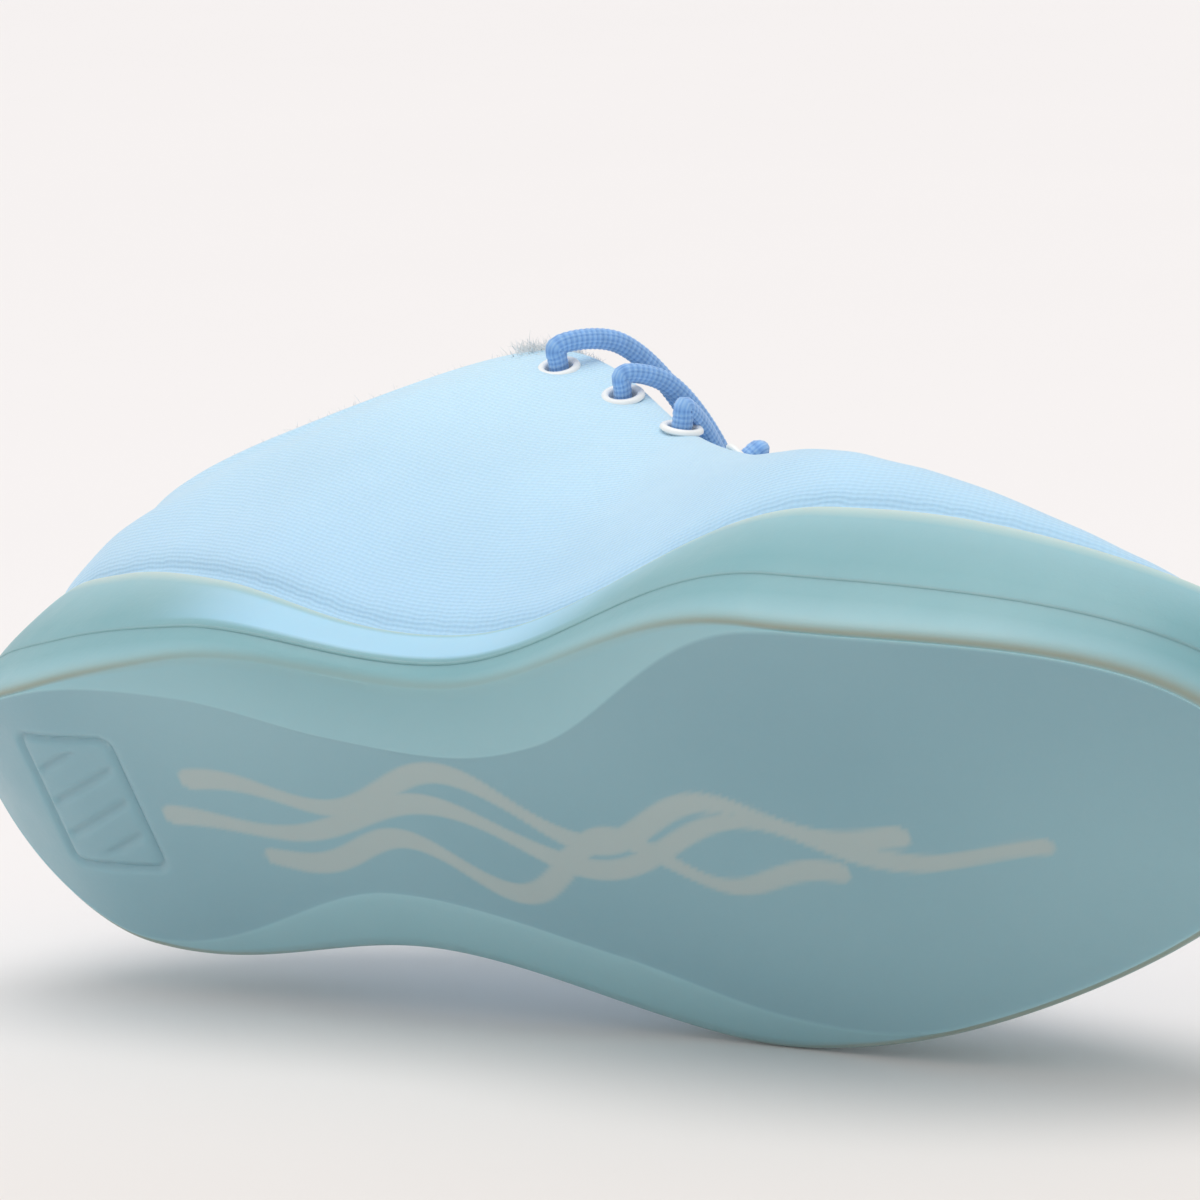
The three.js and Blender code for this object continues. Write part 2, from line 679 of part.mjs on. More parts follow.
function add(name, geometry, color, roughness, metalness = 0) {
  const material = new THREE.MeshStandardMaterial({ color, roughness, metalness });
  const mesh = new THREE.Mesh(geometry, material);
  mesh.name = name;
  shoe.add(mesh);
}

const RUBBER = 0x9cc8cf;
const SKY = 0xc4e2f6;
const FOAM = 0xe9ead8;
const LINING = 0xd6e6ee;
const WHITE = 0xf2f2ee;

add('cupsole', makeCupsole(), RUBBER, 0.35);
add('graphic_sheet', plate((a) => floorInset(a) + 1.5, GRAPHIC_LOW, GRAPHIC_LOW + GRAPHIC_THICKNESS), 0x6f9fb4, 0.5);
add('midsole_foam', makeMidsole(), FOAM, 0.9);
add('shank', makeShank(), 0x8a8f94, 0.4, 0.8);
add('heel_cushion', makeHeelCushion(), 0xd9b45a, 0.6);
add('insole_board', makeBoard(), 0xb9a483, 0.9);
add('sock_liner', makeSockLiner(), 0xb9d3e6, 0.9);

const FULL_TURN = [0, COLUMNS];
const FRONT = columnAt(52);
const ANKLE = columnAt(127.5);
const COUNTER = columnAt(142.5);
const mirrored = ([from, to]) => [COLUMNS - to, COLUMNS - from];
const around = (column) => [-column, column];

add('upper_shell', upperLayer(FULL_TURN, [0, TOP_ROW], () => 0, shellDepth), SKY, 0.9);
const middle = (columns, rows) => upperLayer(columns, rows, middleTopDepth, middleLowDepth);
add('toe_puff', middle(around(FRONT), [1, 4]), 0xd8cfb8, 0.7);
add('vamp_foam', middle(around(FRONT), [4, 6]), FOAM, 0.9);
const EYESTAY = [0, ANKLE];
add('lateral_eyestay_tape', middle(EYESTAY, [6, TOP_ROW]), WHITE, 0.8);
add('medial_eyestay_tape', middle(mirrored(EYESTAY), [6, TOP_ROW]), WHITE, 0.8);
const QUARTER = [FRONT, COUNTER];
add('lateral_quarter_foam', middle(QUARTER, [1, 5]), FOAM, 0.9);
add('medial_quarter_foam', middle(mirrored(QUARTER), [1, 5]), FOAM, 0.9);
const QUARTER_TOP = [FRONT, ANKLE];
add('lateral_instep_foam', middle(QUARTER_TOP, [5, 6]), FOAM, 0.9);
add('medial_instep_foam', middle(mirrored(QUARTER_TOP), [5, 6]), FOAM, 0.9);
add('collar_pad', middle([ANKLE, COLUMNS - ANKLE], [5, TOP_ROW]), FOAM, 0.9);
add('heel_counter', middle([COUNTER, COLUMNS - COUNTER], [0, 5]), 0xcfc4a4, 0.6);
const lining = (columns) => upperLayer(columns, [0, TOP_ROW], liningTopDepth, liningLowDepth);
add('vamp_lining', lining(around(FRONT)), LINING, 0.95);
add('quarter_lining', lining([FRONT, COLUMNS - FRONT]), LINING, 0.95);
add('collar_fleece', makeFleece(), WHITE, 1);

for (const place of eyelets) {
  const sideName = place.side > 0 ? 'lateral' : 'medial';
  add(`eyelet_${sideName}_${place.k + 1}`, makeEyelet(place), WHITE, 0.35);
}

const lace = lacePoints();
add('lace', tube(lace, LACE_RADIUS, 7, 2 * (lace.length - 1)), 0x7fb0ee, 0.8);
add('aglet_front', makeAglet(lace[0], lace[1]), WHITE, 0.3);
add('aglet_rear', makeAglet(lace.at(-1), lace.at(-2)), WHITE, 0.3);

const shellEnd = TONGUE_THICKNESS.shell;
const foamEnd = shellEnd + GAP + TONGUE_THICKNESS.foam;
add('tongue_shell', tongueLayer(0, shellEnd), SKY, 0.9);
add('tongue_foam', tongueLayer(shellEnd + GAP, foamEnd), FOAM, 0.9);
add('tongue_lining', tongueLayer(foamEnd + GAP, foamEnd + GAP + TONGUE_THICKNESS.lining), LINING, 0.95);

export default shoe;
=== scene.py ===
import bpy
import json
import math
import numpy as np
from mathutils import Matrix, Vector


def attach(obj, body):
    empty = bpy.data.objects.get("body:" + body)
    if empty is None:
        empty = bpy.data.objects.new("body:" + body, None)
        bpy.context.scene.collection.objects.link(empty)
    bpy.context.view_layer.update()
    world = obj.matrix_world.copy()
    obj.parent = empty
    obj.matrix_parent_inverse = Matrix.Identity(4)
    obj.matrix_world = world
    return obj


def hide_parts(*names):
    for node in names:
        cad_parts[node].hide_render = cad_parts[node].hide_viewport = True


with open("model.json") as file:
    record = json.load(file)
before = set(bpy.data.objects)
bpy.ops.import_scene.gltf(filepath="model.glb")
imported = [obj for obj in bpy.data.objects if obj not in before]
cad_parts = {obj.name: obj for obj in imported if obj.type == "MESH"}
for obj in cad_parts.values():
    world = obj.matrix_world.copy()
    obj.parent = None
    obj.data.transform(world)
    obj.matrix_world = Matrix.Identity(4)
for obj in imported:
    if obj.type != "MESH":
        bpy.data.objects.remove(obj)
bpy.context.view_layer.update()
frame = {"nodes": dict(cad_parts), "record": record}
rng = np.random.default_rng(7)
MM = 0.001
scene = bpy.context.scene

# ------------------------------------------------------------------ camera

# The shoe keeps its own frame, lying sole down, and the camera is turned to see it as if it lay on its side.
AZIMUTH, ELEVATION, CAMERA_ROLL = -40.101, -39.652, 38.521  # degrees
AIM = np.array([5.19, -31.90, 29.58])  # the point at the middle of the picture, mm
VIEW_WIDTH = 223.476  # mm across the picture at the aim point
DISTANCE = 1779.34
SENSOR = 36.0


def camera_axes(azimuth, elevation, roll):
    """Right, up and backward axes of a camera that looks at its target from azimuth and elevation."""
    az, el, turn = np.radians([azimuth, elevation, roll])
    back = np.array([np.cos(az) * np.cos(el), np.sin(az) * np.cos(el), np.sin(el)])
    level = np.array([-np.sin(az), np.cos(az), 0.0])
    rise = np.cross(back, level)
    right = np.cos(turn) * level + np.sin(turn) * rise
    return right, np.cross(back, right), back


R_AXIS, U_AXIS, D_AXIS = camera_axes(AZIMUTH, ELEVATION, CAMERA_ROLL)

cam_data = bpy.data.cameras.new("camera")
cam_data.sensor_width = SENSOR
cam_data.lens = SENSOR * DISTANCE / VIEW_WIDTH
cam_data.clip_end = 30
cam = bpy.data.objects.new("camera", cam_data)
scene.collection.objects.link(cam)
place = (AIM + DISTANCE * D_AXIS) * MM
cam.matrix_world = Matrix([[R_AXIS[k], U_AXIS[k], D_AXIS[k], place[k]] for k in range(3)] + [[0, 0, 0, 1]])
scene.camera = cam
scene.view_settings.view_transform = "Standard"

# ------------------------------------------------------------------ shape of the sole and the upper (mm)

LENGTH = 300.0
MEDIAL = ([-150, -79, -17, 62, 150], [46, 44.5, 34, 56, 61])
LATERAL = ([-150, -114, -47, 35, 150], [40.5, 47.5, 35, 53.9, 45])
FULLNESS = 0.78
TOE_SPRING, TOE_START, HEEL_RISE, HEEL_START = 19, 48, 14, 112
WALL_STATIONS = [-150, -128, -38, 76, 150]
MEDIAL_WALL = (WALL_STATIONS, [30, 37, 17, 36, 25])
LATERAL_WALL = (WALL_STATIONS, [30, 37, 20, 34.5, 25])
SCOOP_CENTRE, SCOOP_LENGTH, SCOOP_WIDTH, SCOOP_RISE = -25, 195, 14, 1.5
OPENING = [[44, 0, 55], [42, 6, 55.7], [35, 12, 58.5], [18, 18, 69.5], [-14, 24, 92.5],
           [-57, 29.5, 112], [-99, 34, 77], [-131, 22, 68], [-142, 0, 70]]
RISE, SWELL = (5, 30, 13), (-6, 6, 5)
REACH, DROP = (0.62, 0.7, 0.1), (9, 6, 14)
INSET = 4.3


def smooth(t):
    """Smooth step from 0 to 1 as t runs from 0 to 1."""
    t = np.clip(t, 0, 1)
    return t * t * (3 - 2 * t)


def unit(v):
    return v / np.linalg.norm(v, axis=-1, keepdims=True)


def mesh_points(me):
    """The points of a mesh, in metres."""
    points = np.empty(len(me.vertices) * 3, dtype=np.float32)
    me.vertices.foreach_get("co", points)
    return points.reshape(-1, 3)


def along(table, x):
    stations, values = table
    out = np.full_like(x, values[0], dtype=float)
    for k in range(1, len(stations)):
        step = smooth((x - stations[k - 1]) / (stations[k] - stations[k - 1]))
        out = out + (values[k] - values[k - 1]) * step
    return out


def rest_height(x):
    toe = np.maximum(0, x - TOE_START) / (LENGTH / 2 - TOE_START)
    heel = np.maximum(0, -x - HEEL_START) / (LENGTH / 2 - HEEL_START)
    return TOE_SPRING * toe ** 2.2 + HEEL_RISE * heel ** 2


def side_values(phi, x, medial, lateral):
    return np.where(np.sin(phi) > 0, along(lateral, x), along(medial, x))


def wall_height(phi):
    return side_values(phi, LENGTH / 2 * np.cos(phi), MEDIAL_WALL, LATERAL_WALL)


def scoop(phi):
    x = LENGTH / 2 * np.cos(phi)
    return smooth(1.4 * (1 - np.abs(x - SCOOP_CENTRE) / (SCOOP_LENGTH / 2)))


def sole_point(phi, inset, height):
    x = (LENGTH / 2 - inset) * np.cos(phi)
    half = side_values(phi, x, MEDIAL, LATERAL)
    s = np.sin(phi)
    y = np.sign(s) * (half - inset) * np.abs(s) ** FULLNESS
    return np.stack([x, y, rest_height(x) + height], -1)


def midsole_top(x):
    return 6.2 + 10 - 6 * smooth((x + 62) / 110)


def mix_round(values, phi):
    toe, side, heel = values
    c, s = np.cos(phi), np.sin(phi)
    return toe * np.maximum(c, 0) ** 2 + heel * np.maximum(-c, 0) ** 2 + side * s * s


def catmull(points, t, closed=False, power=0.0):
    """Catmull-Rom through points at t in segments; power 0 is uniform, 0.5 centripetal."""
    p = np.asarray(points, float)
    n = len(p)
    t = np.asarray(t, float)
    k = np.floor(t).astype(int)
    if closed:
        k = k % n
        idx = [(k - 1) % n, k, (k + 1) % n, (k + 2) % n]
        f = (t - np.floor(t))[:, None]
        a, b, c, d = (p[i] for i in idx)
    else:
        k = np.clip(k, 0, n - 2)
        f = (t - k)[:, None]
        ext = np.vstack([2 * p[0] - p[1], p, 2 * p[-1] - p[-2]])
        a, b, c, d = ext[k], ext[k + 1], ext[k + 2], ext[k + 3]
    if power:
        d0 = np.maximum(np.linalg.norm(b - a, axis=1), 1e-6)[:, None] ** power
        d1 = np.maximum(np.linalg.norm(c - b, axis=1), 1e-6)[:, None] ** power
        d2 = np.maximum(np.linalg.norm(d - c, axis=1), 1e-6)[:, None] ** power
        m1 = ((b - a) / d0 - (c - a) / (d0 + d1) + (c - b) / d1) * d1
        m2 = ((c - b) / d1 - (d - b) / (d1 + d2) + (d - c) / d2) * d1
    else:
        m1, m2 = (c - a) / 2, (d - b) / 2
    return (b * (2 * f ** 3 - 3 * f ** 2 + 1) + m1 * (f ** 3 - 2 * f ** 2 + f)
            + c * (3 * f ** 2 - 2 * f ** 3) + m2 * (f ** 3 - f ** 2))


RING_POINTS = np.array(OPENING + [[x, -y, z] for x, y, z in OPENING[-2:0:-1]], float)


def opening_at(phi):
    return catmull(RING_POINTS, (np.asarray(phi) / (2 * np.pi) % 1) * len(RING_POINTS), closed=True)


def upper_surface(phi, t):
    """Points [column, row] of the outer surface; t runs 0 at the rubber lip to 1 at the opening."""
    lip = sole_point(phi, INSET, wall_height(phi) + 0.4)
    edge = opening_at(phi)
    out = np.stack([np.cos(phi), np.sin(phi), 0 * phi], -1)
    first = lip + out * mix_round(SWELL, phi)[:, None]
    first[:, 2] += mix_round(RISE, phi)
    reach = mix_round(REACH, phi)[:, None]
    shoulder = edge + (lip - edge) * reach
    shoulder[:, 2] = edge[:, 2] - mix_round(DROP, phi)
    w = t[None, :, None]
    a, b, c, d = (p[:, None, :] for p in (lip, first, shoulder, edge))
    return a * (1 - w) ** 3 + 3 * b * w * (1 - w) ** 2 + 3 * c * w * w * (1 - w) + d * w ** 3


def grid_normals(g, wraps=True):
    if wraps:
        du = np.roll(g, -1, 0) - np.roll(g, 1, 0)
    else:
        du = np.gradient(g, axis=0)
    dv = np.gradient(g, axis=1)
    n = np.cross(du, dv)
    return n / np.maximum(np.linalg.norm(n, axis=2, keepdims=True), 1e-9)


# ------------------------------------------------------------------ mesh helpers

def add_attributes(me, attrs):
    for key, value in attrs.items():
        layer = me.attributes.new(key, "FLOAT", "POINT")
        layer.data.foreach_set("value", np.asarray(value, dtype=np.float32))


def make_mesh(name, verts, faces, attrs, mat, body="shoe", smooth_angle=None):
    """A visible piece that rides on a body, from points in mm."""
    me = bpy.data.meshes.new(name)
    me.from_pydata((np.asarray(verts) * MM).tolist(), [], [list(map(int, f)) for f in faces])
    add_attributes(me, attrs)
    me.validate()
    me.shade_smooth()
    if smooth_angle is not None:
        me.set_sharp_from_angle(angle=math.radians(smooth_angle))
    ob = bpy.data.objects.new(name, me)
    scene.collection.objects.link(ob)
    me.materials.append(mat)
    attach(ob, body)
    return ob


def tube_points(path, side, top, across, over, angles):
    """Points [ring, turn] round a path, on ellipses of the half widths across and over."""
    return (path[:, None] + across * np.cos(angles)[None, :, None] * side[:, None]
            + over * np.sin(angles)[None, :, None] * top[:, None])


def turn_angles(count):
    return np.arange(count) * 2 * np.pi / count


def tube_faces(rings, sides):
    """Faces of an open tube with a cap at each end."""
    faces = [list(f) for f in quads(rings, sides, close_v=True)]
    return faces + [list(range(sides))[::-1], [(rings - 1) * sides + k for k in range(sides)]]


def quads(n, m, close_u=False, close_v=False, start=0, flip=False):
    i = np.arange(n if close_u else n - 1)
    j = np.arange(m if close_v else m - 1)
    a = i[:, None] * m + j[None]
    b = ((i[:, None] + 1) % n) * m + j[None]
    c = ((i[:, None] + 1) % n) * m + (j[None] + 1) % m
    d = i[:, None] * m + (j[None] + 1) % m
    f = np.stack([a, b, c, d], -1).reshape(-1, 4) + start
    return f[:, ::-1] if flip else f


def wave_noise(p, size, seed, octaves=3):
    """A smooth made-up field at points p (mm), about -1..1."""
    r = np.random.default_rng(seed)
    out = np.zeros(len(p))
    amp = 1.0
    for k in range(octaves):
        for _ in range(4):
            direction = r.normal(size=3)
            direction /= np.linalg.norm(direction)
            out += amp * np.sin(p @ direction * (2 * np.pi / size) + r.uniform(0, 6.28)) / 3
        size, amp = size * 0.52, amp * 0.55
    return out


# ------------------------------------------------------------------ materials

def material(name):
    m = bpy.data.materials.new(name)
    m.use_nodes = True
    return m, m.node_tree.nodes, m.node_tree.links, m.node_tree.nodes["Principled BSDF"]


def attr(nodes, name):
    n = nodes.new("ShaderNodeAttribute")
    n.attribute_name = name
    return n.outputs["Fac"]


def times(nodes, links, a, b):
    return maths(nodes, links, "MULTIPLY", a, b)


def set_inputs(shader, **values):
    for key, value in values.items():
        shader.inputs[key.replace("_", " ")].default_value = value


def mixer(nodes, links, fac, a, b, mode="MIX"):
    n = nodes.new("ShaderNodeMix")
    n.data_type = "RGBA"
    n.blend_type = mode
    for socket, value in ((n.inputs[0], fac), (n.inputs[6], a), (n.inputs[7], b)):
        if isinstance(value, (int, float, tuple)):
            socket.default_value = value
        else:
            links.new(value, socket)
    return n.outputs[2]


def maths(nodes, links, op, a, b=None, clamp=False):
    n = nodes.new("ShaderNodeMath")
    n.operation = op
    n.use_clamp = clamp
    for socket, value in ((n.inputs[0], a), (n.inputs[1], b)):
        if value is None:
            continue
        if isinstance(value, (int, float)):
            socket.default_value = value
        else:
            links.new(value, socket)
    return n.outputs[0]


def ramp(nodes, links, fac, stops):
    n = nodes.new("ShaderNodeValToRGB")
    e = n.color_ramp.elements
    while len(e) < len(stops):
        e.new(0.5)
    for k, (pos, value) in enumerate(stops):
        e[k].position = pos
        e[k].color = value if isinstance(value, tuple) else (value, value, value, 1)
    links.new(fac, n.inputs[0])
    return n.outputs[0]


def noise(nodes, links, coords, scale, detail=3, rough=0.5):
    n = nodes.new("ShaderNodeTexNoise")
    n.inputs["Scale"].default_value = scale
    n.inputs["Detail"].default_value = detail
    n.inputs["Roughness"].default_value = rough
    links.new(coords, n.inputs["Vector"])
    return n.outputs["Fac"]


def object_coords(nodes):
    return nodes.new("ShaderNodeTexCoord").outputs["Object"]


def bump(nodes, links, shader, height, strength, distance):
    n = nodes.new("ShaderNodeBump")
    n.inputs["Strength"].default_value = strength
    n.inputs["Distance"].default_value = distance
    links.new(height, n.inputs["Height"])
    links.new(n.outputs["Normal"], shader.inputs["Normal"])


def rubber_material():
    m, nodes, links, s = material("rubber")
    co = object_coords(nodes)
    flat = attr(nodes, "flat")
    high = attr(nodes, "high")
    waist = attr(nodes, "waist")
    edge = attr(nodes, "rim")
    mark = attr(nodes, "mark")
    cloud = noise(nodes, links, co, 28, 4)
    deep = mixer(nodes, links, cloud, (0.026, 0.090, 0.140, 1), (0.050, 0.130, 0.182, 1))
    wall = mixer(nodes, links, cloud, (0.165, 0.36, 0.40, 1), (0.225, 0.44, 0.475, 1))
    base = mixer(nodes, links, flat, wall, deep)
    # Lighter towards the bottom edge and the top of the wall, where the rubber is thin: painted light shining
    # through it.
    thin_rubber_glow = ramp(nodes, links, high, [(0.0, 0.75), (0.22, 0.08), (0.5, 0.0), (0.72, 0.25), (0.86, 0.5)])
    base = mixer(nodes, links, thin_rubber_glow, base, (0.36, 0.59, 0.65, 1))
    base = mixer(nodes, links, times(nodes, links, waist, 0.8), base, (0.42, 0.70, 0.92, 1))
    # Pale cream on the top lip of the rubber wall: painted highlight.
    lip = ramp(nodes, links, high, [(0.0, 0.0), (0.88, 0.0), (0.97, 0.6), (1.0, 0.8)])
    base = mixer(nodes, links, lip, base, (0.62, 0.70, 0.62, 1))
    # Brownish cream along the rounded edge of the sole, from attribute rim: painted highlight.
    base = mixer(nodes, links, times(nodes, links, edge, 0.8), base, (0.30, 0.31, 0.23, 1))
    base = mixer(nodes, links, attr(nodes, "glow"), base, (0.10, 0.24, 0.32, 1))
    base = mixer(nodes, links, mark, base, (0.42, 0.50, 0.49, 1))
    smudge = ramp(nodes, links, noise(nodes, links, co, 55, 5, 0.7), [(0.66, 0.0), (0.80, 0.55)])
    smudge = times(nodes, links, smudge, attr(nodes, "dirt"))
    base = mixer(nodes, links, smudge, base, (0.14, 0.11, 0.075, 1))
    dots = nodes.new("ShaderNodeTexVoronoi")
    dots.inputs["Scale"].default_value = 420
    links.new(co, dots.inputs["Vector"])
    speck = ramp(nodes, links, dots.outputs["Distance"], [(0.0, 0.5), (0.05, 0.0)])
    base = mixer(nodes, links, times(nodes, links, speck, 0.5), base, (0.62, 0.62, 0.56, 1))
    links.new(base, s.inputs["Base Color"])
    set_inputs(s, Subsurface_Weight=0.45, Subsurface_Radius=(0.5, 0.9, 1.0), Subsurface_Scale=0.006,
               IOR=1.45, Coat_Weight=0.15, Coat_Roughness=0.25)
    rough = ramp(nodes, links, noise(nodes, links, co, 90, 4), [(0.3, 0.36), (0.7, 0.50)])
    links.new(rough, s.inputs["Roughness"])
    fine = maths(nodes, links, "ADD", noise(nodes, links, co, 900, 2), noise(nodes, links, co, 60, 2))
    bump(nodes, links, s, fine, 0.12, 0.0004)
    return m


def knit_material(name, low, top, rib=0.95, strength=0.3):
    """Fine ribs across the climb of the fabric; attribute climb is the length up from the rubber, in mm."""
    m, nodes, links, s = material(name)
    co = object_coords(nodes)
    climb = attr(nodes, "climb")
    turn = attr(nodes, "turn")
    wobble = times(nodes, links, noise(nodes, links, co, 220, 3), 1.1)
    line = maths(nodes, links, "ADD", climb, wobble)
    ribs = maths(nodes, links, "SINE", times(nodes, links, line, 2 * math.pi / rib))
    cross = maths(nodes, links, "SINE", times(nodes, links, turn, 2 * math.pi / 1.3))
    weave = maths(nodes, links, "ADD", ribs, times(nodes, links, cross, 0.45))
    fuzz = noise(nodes, links, co, 2600, 3, 0.7)
    height = maths(nodes, links, "ADD", weave, times(nodes, links, fuzz, 1.6))
    # From the low colour to the top colour as the fabric rises: painted light from above.
    rise = ramp(nodes, links, attr(nodes, "painted_top_light"), [(0.0, low), (1.0, top)])
    shade = ramp(nodes, links, maths(nodes, links, "ADD", times(nodes, links, weave, 0.16), 0.5),
                 [(0.25, 0.90), (0.75, 1.0)])
    base = mixer(nodes, links, 1.0, rise, shade, "MULTIPLY")
    patch = ramp(nodes, links, noise(nodes, links, co, 30, 4), [(0.3, 0.95), (0.7, 1.0)])
    base = mixer(nodes, links, 1.0, base, patch, "MULTIPLY")
    links.new(base, s.inputs["Base Color"])
    set_inputs(s, Roughness=0.92, Specular_IOR_Level=0.15, Sheen_Weight=0.35, Sheen_Roughness=0.5,
               Subsurface_Weight=0.12, Subsurface_Radius=(0.6, 0.8, 1.0), Subsurface_Scale=0.002)
    bump(nodes, links, s, height, strength, 0.00016)
    return m


def plain_material(name, dark, light, scale=200, rough=0.6, metal=0.0, strength=0.2, sheen=0.0):
    m, nodes, links, s = material(name)
    co = object_coords(nodes)
    cloud = noise(nodes, links, co, scale, 5, 0.6)
    links.new(mixer(nodes, links, cloud, dark + (1,), light + (1,)), s.inputs["Base Color"])
    vary = noise(nodes, links, co, scale * 0.4, 3)
    vary = ramp(nodes, links, vary, [(0.3, max(rough - 0.08, 0)), (0.7, rough)])
    links.new(vary, s.inputs["Roughness"])
    set_inputs(s, Metallic=metal, Sheen_Weight=sheen)
    bump(nodes, links, s, noise(nodes, links, co, scale * 4, 3), strength, 0.0002)
    return m


def lace_material():
    m, nodes, links, s = material("lace")
    co = object_coords(nodes)
    relief = attr(nodes, "relief")
    # Darker between the braid's strands and lighter on their crests: painted shade and highlight.
    base = ramp(nodes, links, relief, [(0.0, (0.13, 0.29, 0.66, 1)), (0.55, (0.27, 0.51, 0.90, 1)),
                                       (1.0, (0.42, 0.66, 0.96, 1))])
    cloud = ramp(nodes, links, noise(nodes, links, co, 500, 3), [(0.3, 0.86), (0.7, 1.0)])
    links.new(mixer(nodes, links, 1.0, base, cloud, "MULTIPLY"), s.inputs["Base Color"])
    set_inputs(s, Roughness=0.75, Specular_IOR_Level=0.25, Sheen_Weight=0.3)
    bump(nodes, links, s, noise(nodes, links, co, 3000, 3), 0.35, 0.0001)
    return m


RUBBER = rubber_material()
# Each knit's second colour is the one painted at the top of the shoe, lighter for light from above.
KNIT = knit_material("sky_knit", (0.47, 0.72, 0.93, 1), (0.57, 0.82, 0.98, 1))
LINING = knit_material("lining", (0.62, 0.78, 0.88, 1), (0.72, 0.86, 0.93, 1), rib=1.4, strength=0.6)
LINER = knit_material("liner_fabric", (0.38, 0.55, 0.72, 1), (0.45, 0.63, 0.80, 1), rib=1.8, strength=0.6)
FLEECE = plain_material("fleece", (0.80, 0.84, 0.86), (0.93, 0.95, 0.95), 300, 0.95, sheen=0.5)
LACE = lace_material()
EYELET = plain_material("eyelet", (0.84, 0.86, 0.85), (0.92, 0.93, 0.92), 120, 0.34, strength=0.05)
INNER = {
    "foam": plain_material("foam", (0.70, 0.70, 0.60), (0.84, 0.84, 0.76), 500, 0.9, strength=0.5),
    "stiffener": plain_material("stiffener", (0.55, 0.48, 0.36), (0.66, 0.58, 0.44), 160, 0.7),
    "tape": plain_material("tape", (0.80, 0.80, 0.78), (0.90, 0.90, 0.88), 600, 0.85, strength=0.4),
    "board": plain_material("board", (0.42, 0.34, 0.23), (0.55, 0.46, 0.32), 260, 0.9, strength=0.4),
    "gel": plain_material("gel", (0.62, 0.46, 0.16), (0.74, 0.58, 0.24), 60, 0.4),
    "spring_steel": plain_material("spring_steel", (0.38, 0.39, 0.41), (0.52, 0.53, 0.55), 90, 0.4, 1.0),
    "graphic_film": plain_material("graphic_film", (0.14, 0.32, 0.42), (0.20, 0.40, 0.50), 40, 0.55),
    "aglet": plain_material("aglet", (0.80, 0.84, 0.88), (0.90, 0.93, 0.95), 90, 0.3),
}

# ------------------------------------------------------------------ cup sole

COLS = 720
PHI = turn_angles(COLS)
ACROSS = 96  # cells across the flat of the sole
RELIEF_HEIGHT, FLAT_RECESS = 0.9, 0.12
HEEL_MARK = (-112.0, -2.0)
SPOTS = [(-97, -3, 9), (-74, 4, 7), (106, 12, 6), (-86, 14, 6)]  # x, y and radius of the brown smudges


def wave_distance(p):
    """Distance in mm from sole points to three flowing wave strokes that run the length of the sole."""
    t = np.linspace(0, 1, 260)
    lines = []
    for lane, begin, reach in ((-9, -84, 160), (0, -92, 196), (9, -72, 132)):
        swell = 7.5 * np.sin(np.pi * t) * np.sin(2 * np.pi * 2.5 * t + 0.12 * lane)
        lines.append(np.stack([begin + reach * t, lane * (1 - 0.55 * t) + swell + 3 * t], -1))
    lines = np.vstack(lines)
    out = np.full(len(p), 99.0)
    for start in range(0, len(lines), 60):
        part = lines[start:start + 60]
        d = np.sqrt(((p[:, None, :2] - part[None]) ** 2).sum(2)).min(1)
        out = np.minimum(out, d)
    return out


def heel_relief(p):
    """Raised outline of a rounded frame with three slanted bars, on the heel."""
    x, y = p[:, 0] - HEEL_MARK[0], p[:, 1] - HEEL_MARK[1]
    box = np.maximum(np.abs(x) - 9.0, 0) ** 2 + np.maximum(np.abs(y) - 13.0, 0) ** 2
    frame_line = np.exp(-((np.sqrt(box) - 2.5) / 0.9) ** 2)
    inside = smooth((10 - np.abs(x)) / 1.5) * smooth((13 - np.abs(y)) / 1.5)
    bars = np.exp(-((((y + 0.5 * x) % 8) - 4) / 1.0) ** 2) * inside
    return np.maximum(frame_line, 0.8 * bars)


def sole_rows():
    """The section of the cup, row by row from the sole up and inside: inset and height for each column."""
    s, high = scoop(PHI), wall_height(PHI)
    one = np.ones(COLS)
    knots = [(3 + SCOOP_WIDTH * s, 0 * one), (3 - 0.4 * s, 0.3 + SCOOP_RISE * s),
             (1 * one, 2.2 + SCOOP_RISE * s),
             (0 * one, 0.45 * high + 0.4 * SCOOP_RISE * s), (0.5 * one, 0.75 * high), (1.6 * one, high - 0.8),
             (3.0 * one, high), (4 * one, high - 0.5), (4 * one, 5 + 0.5 * SCOOP_RISE * s)]
    knots = np.array([np.stack(k, -1) for k in knots])
    rows = []
    for k in range(6):
        rows.append(knots[0] + (knots[1] - knots[0]) * k / 6)
    body = knots[1:8]
    for k in range(6):
        a = body[max(k - 1, 0)]
        b, c = body[k], body[k + 1]
        d = body[min(k + 2, 6)]
        steps = 10 if k in (1, 2) else 7
        for f in np.arange(steps) / steps:
            point = (b * (2 * f ** 3 - 3 * f * f + 1) + (c - a) / 2 * (f ** 3 - 2 * f * f + f)
                     + c * (3 * f * f - 2 * f ** 3) + (d - b) / 2 * (f ** 3 - f * f))
            rows.append(point)
    rows += [knots[7], knots[8]]
    return np.array(rows)


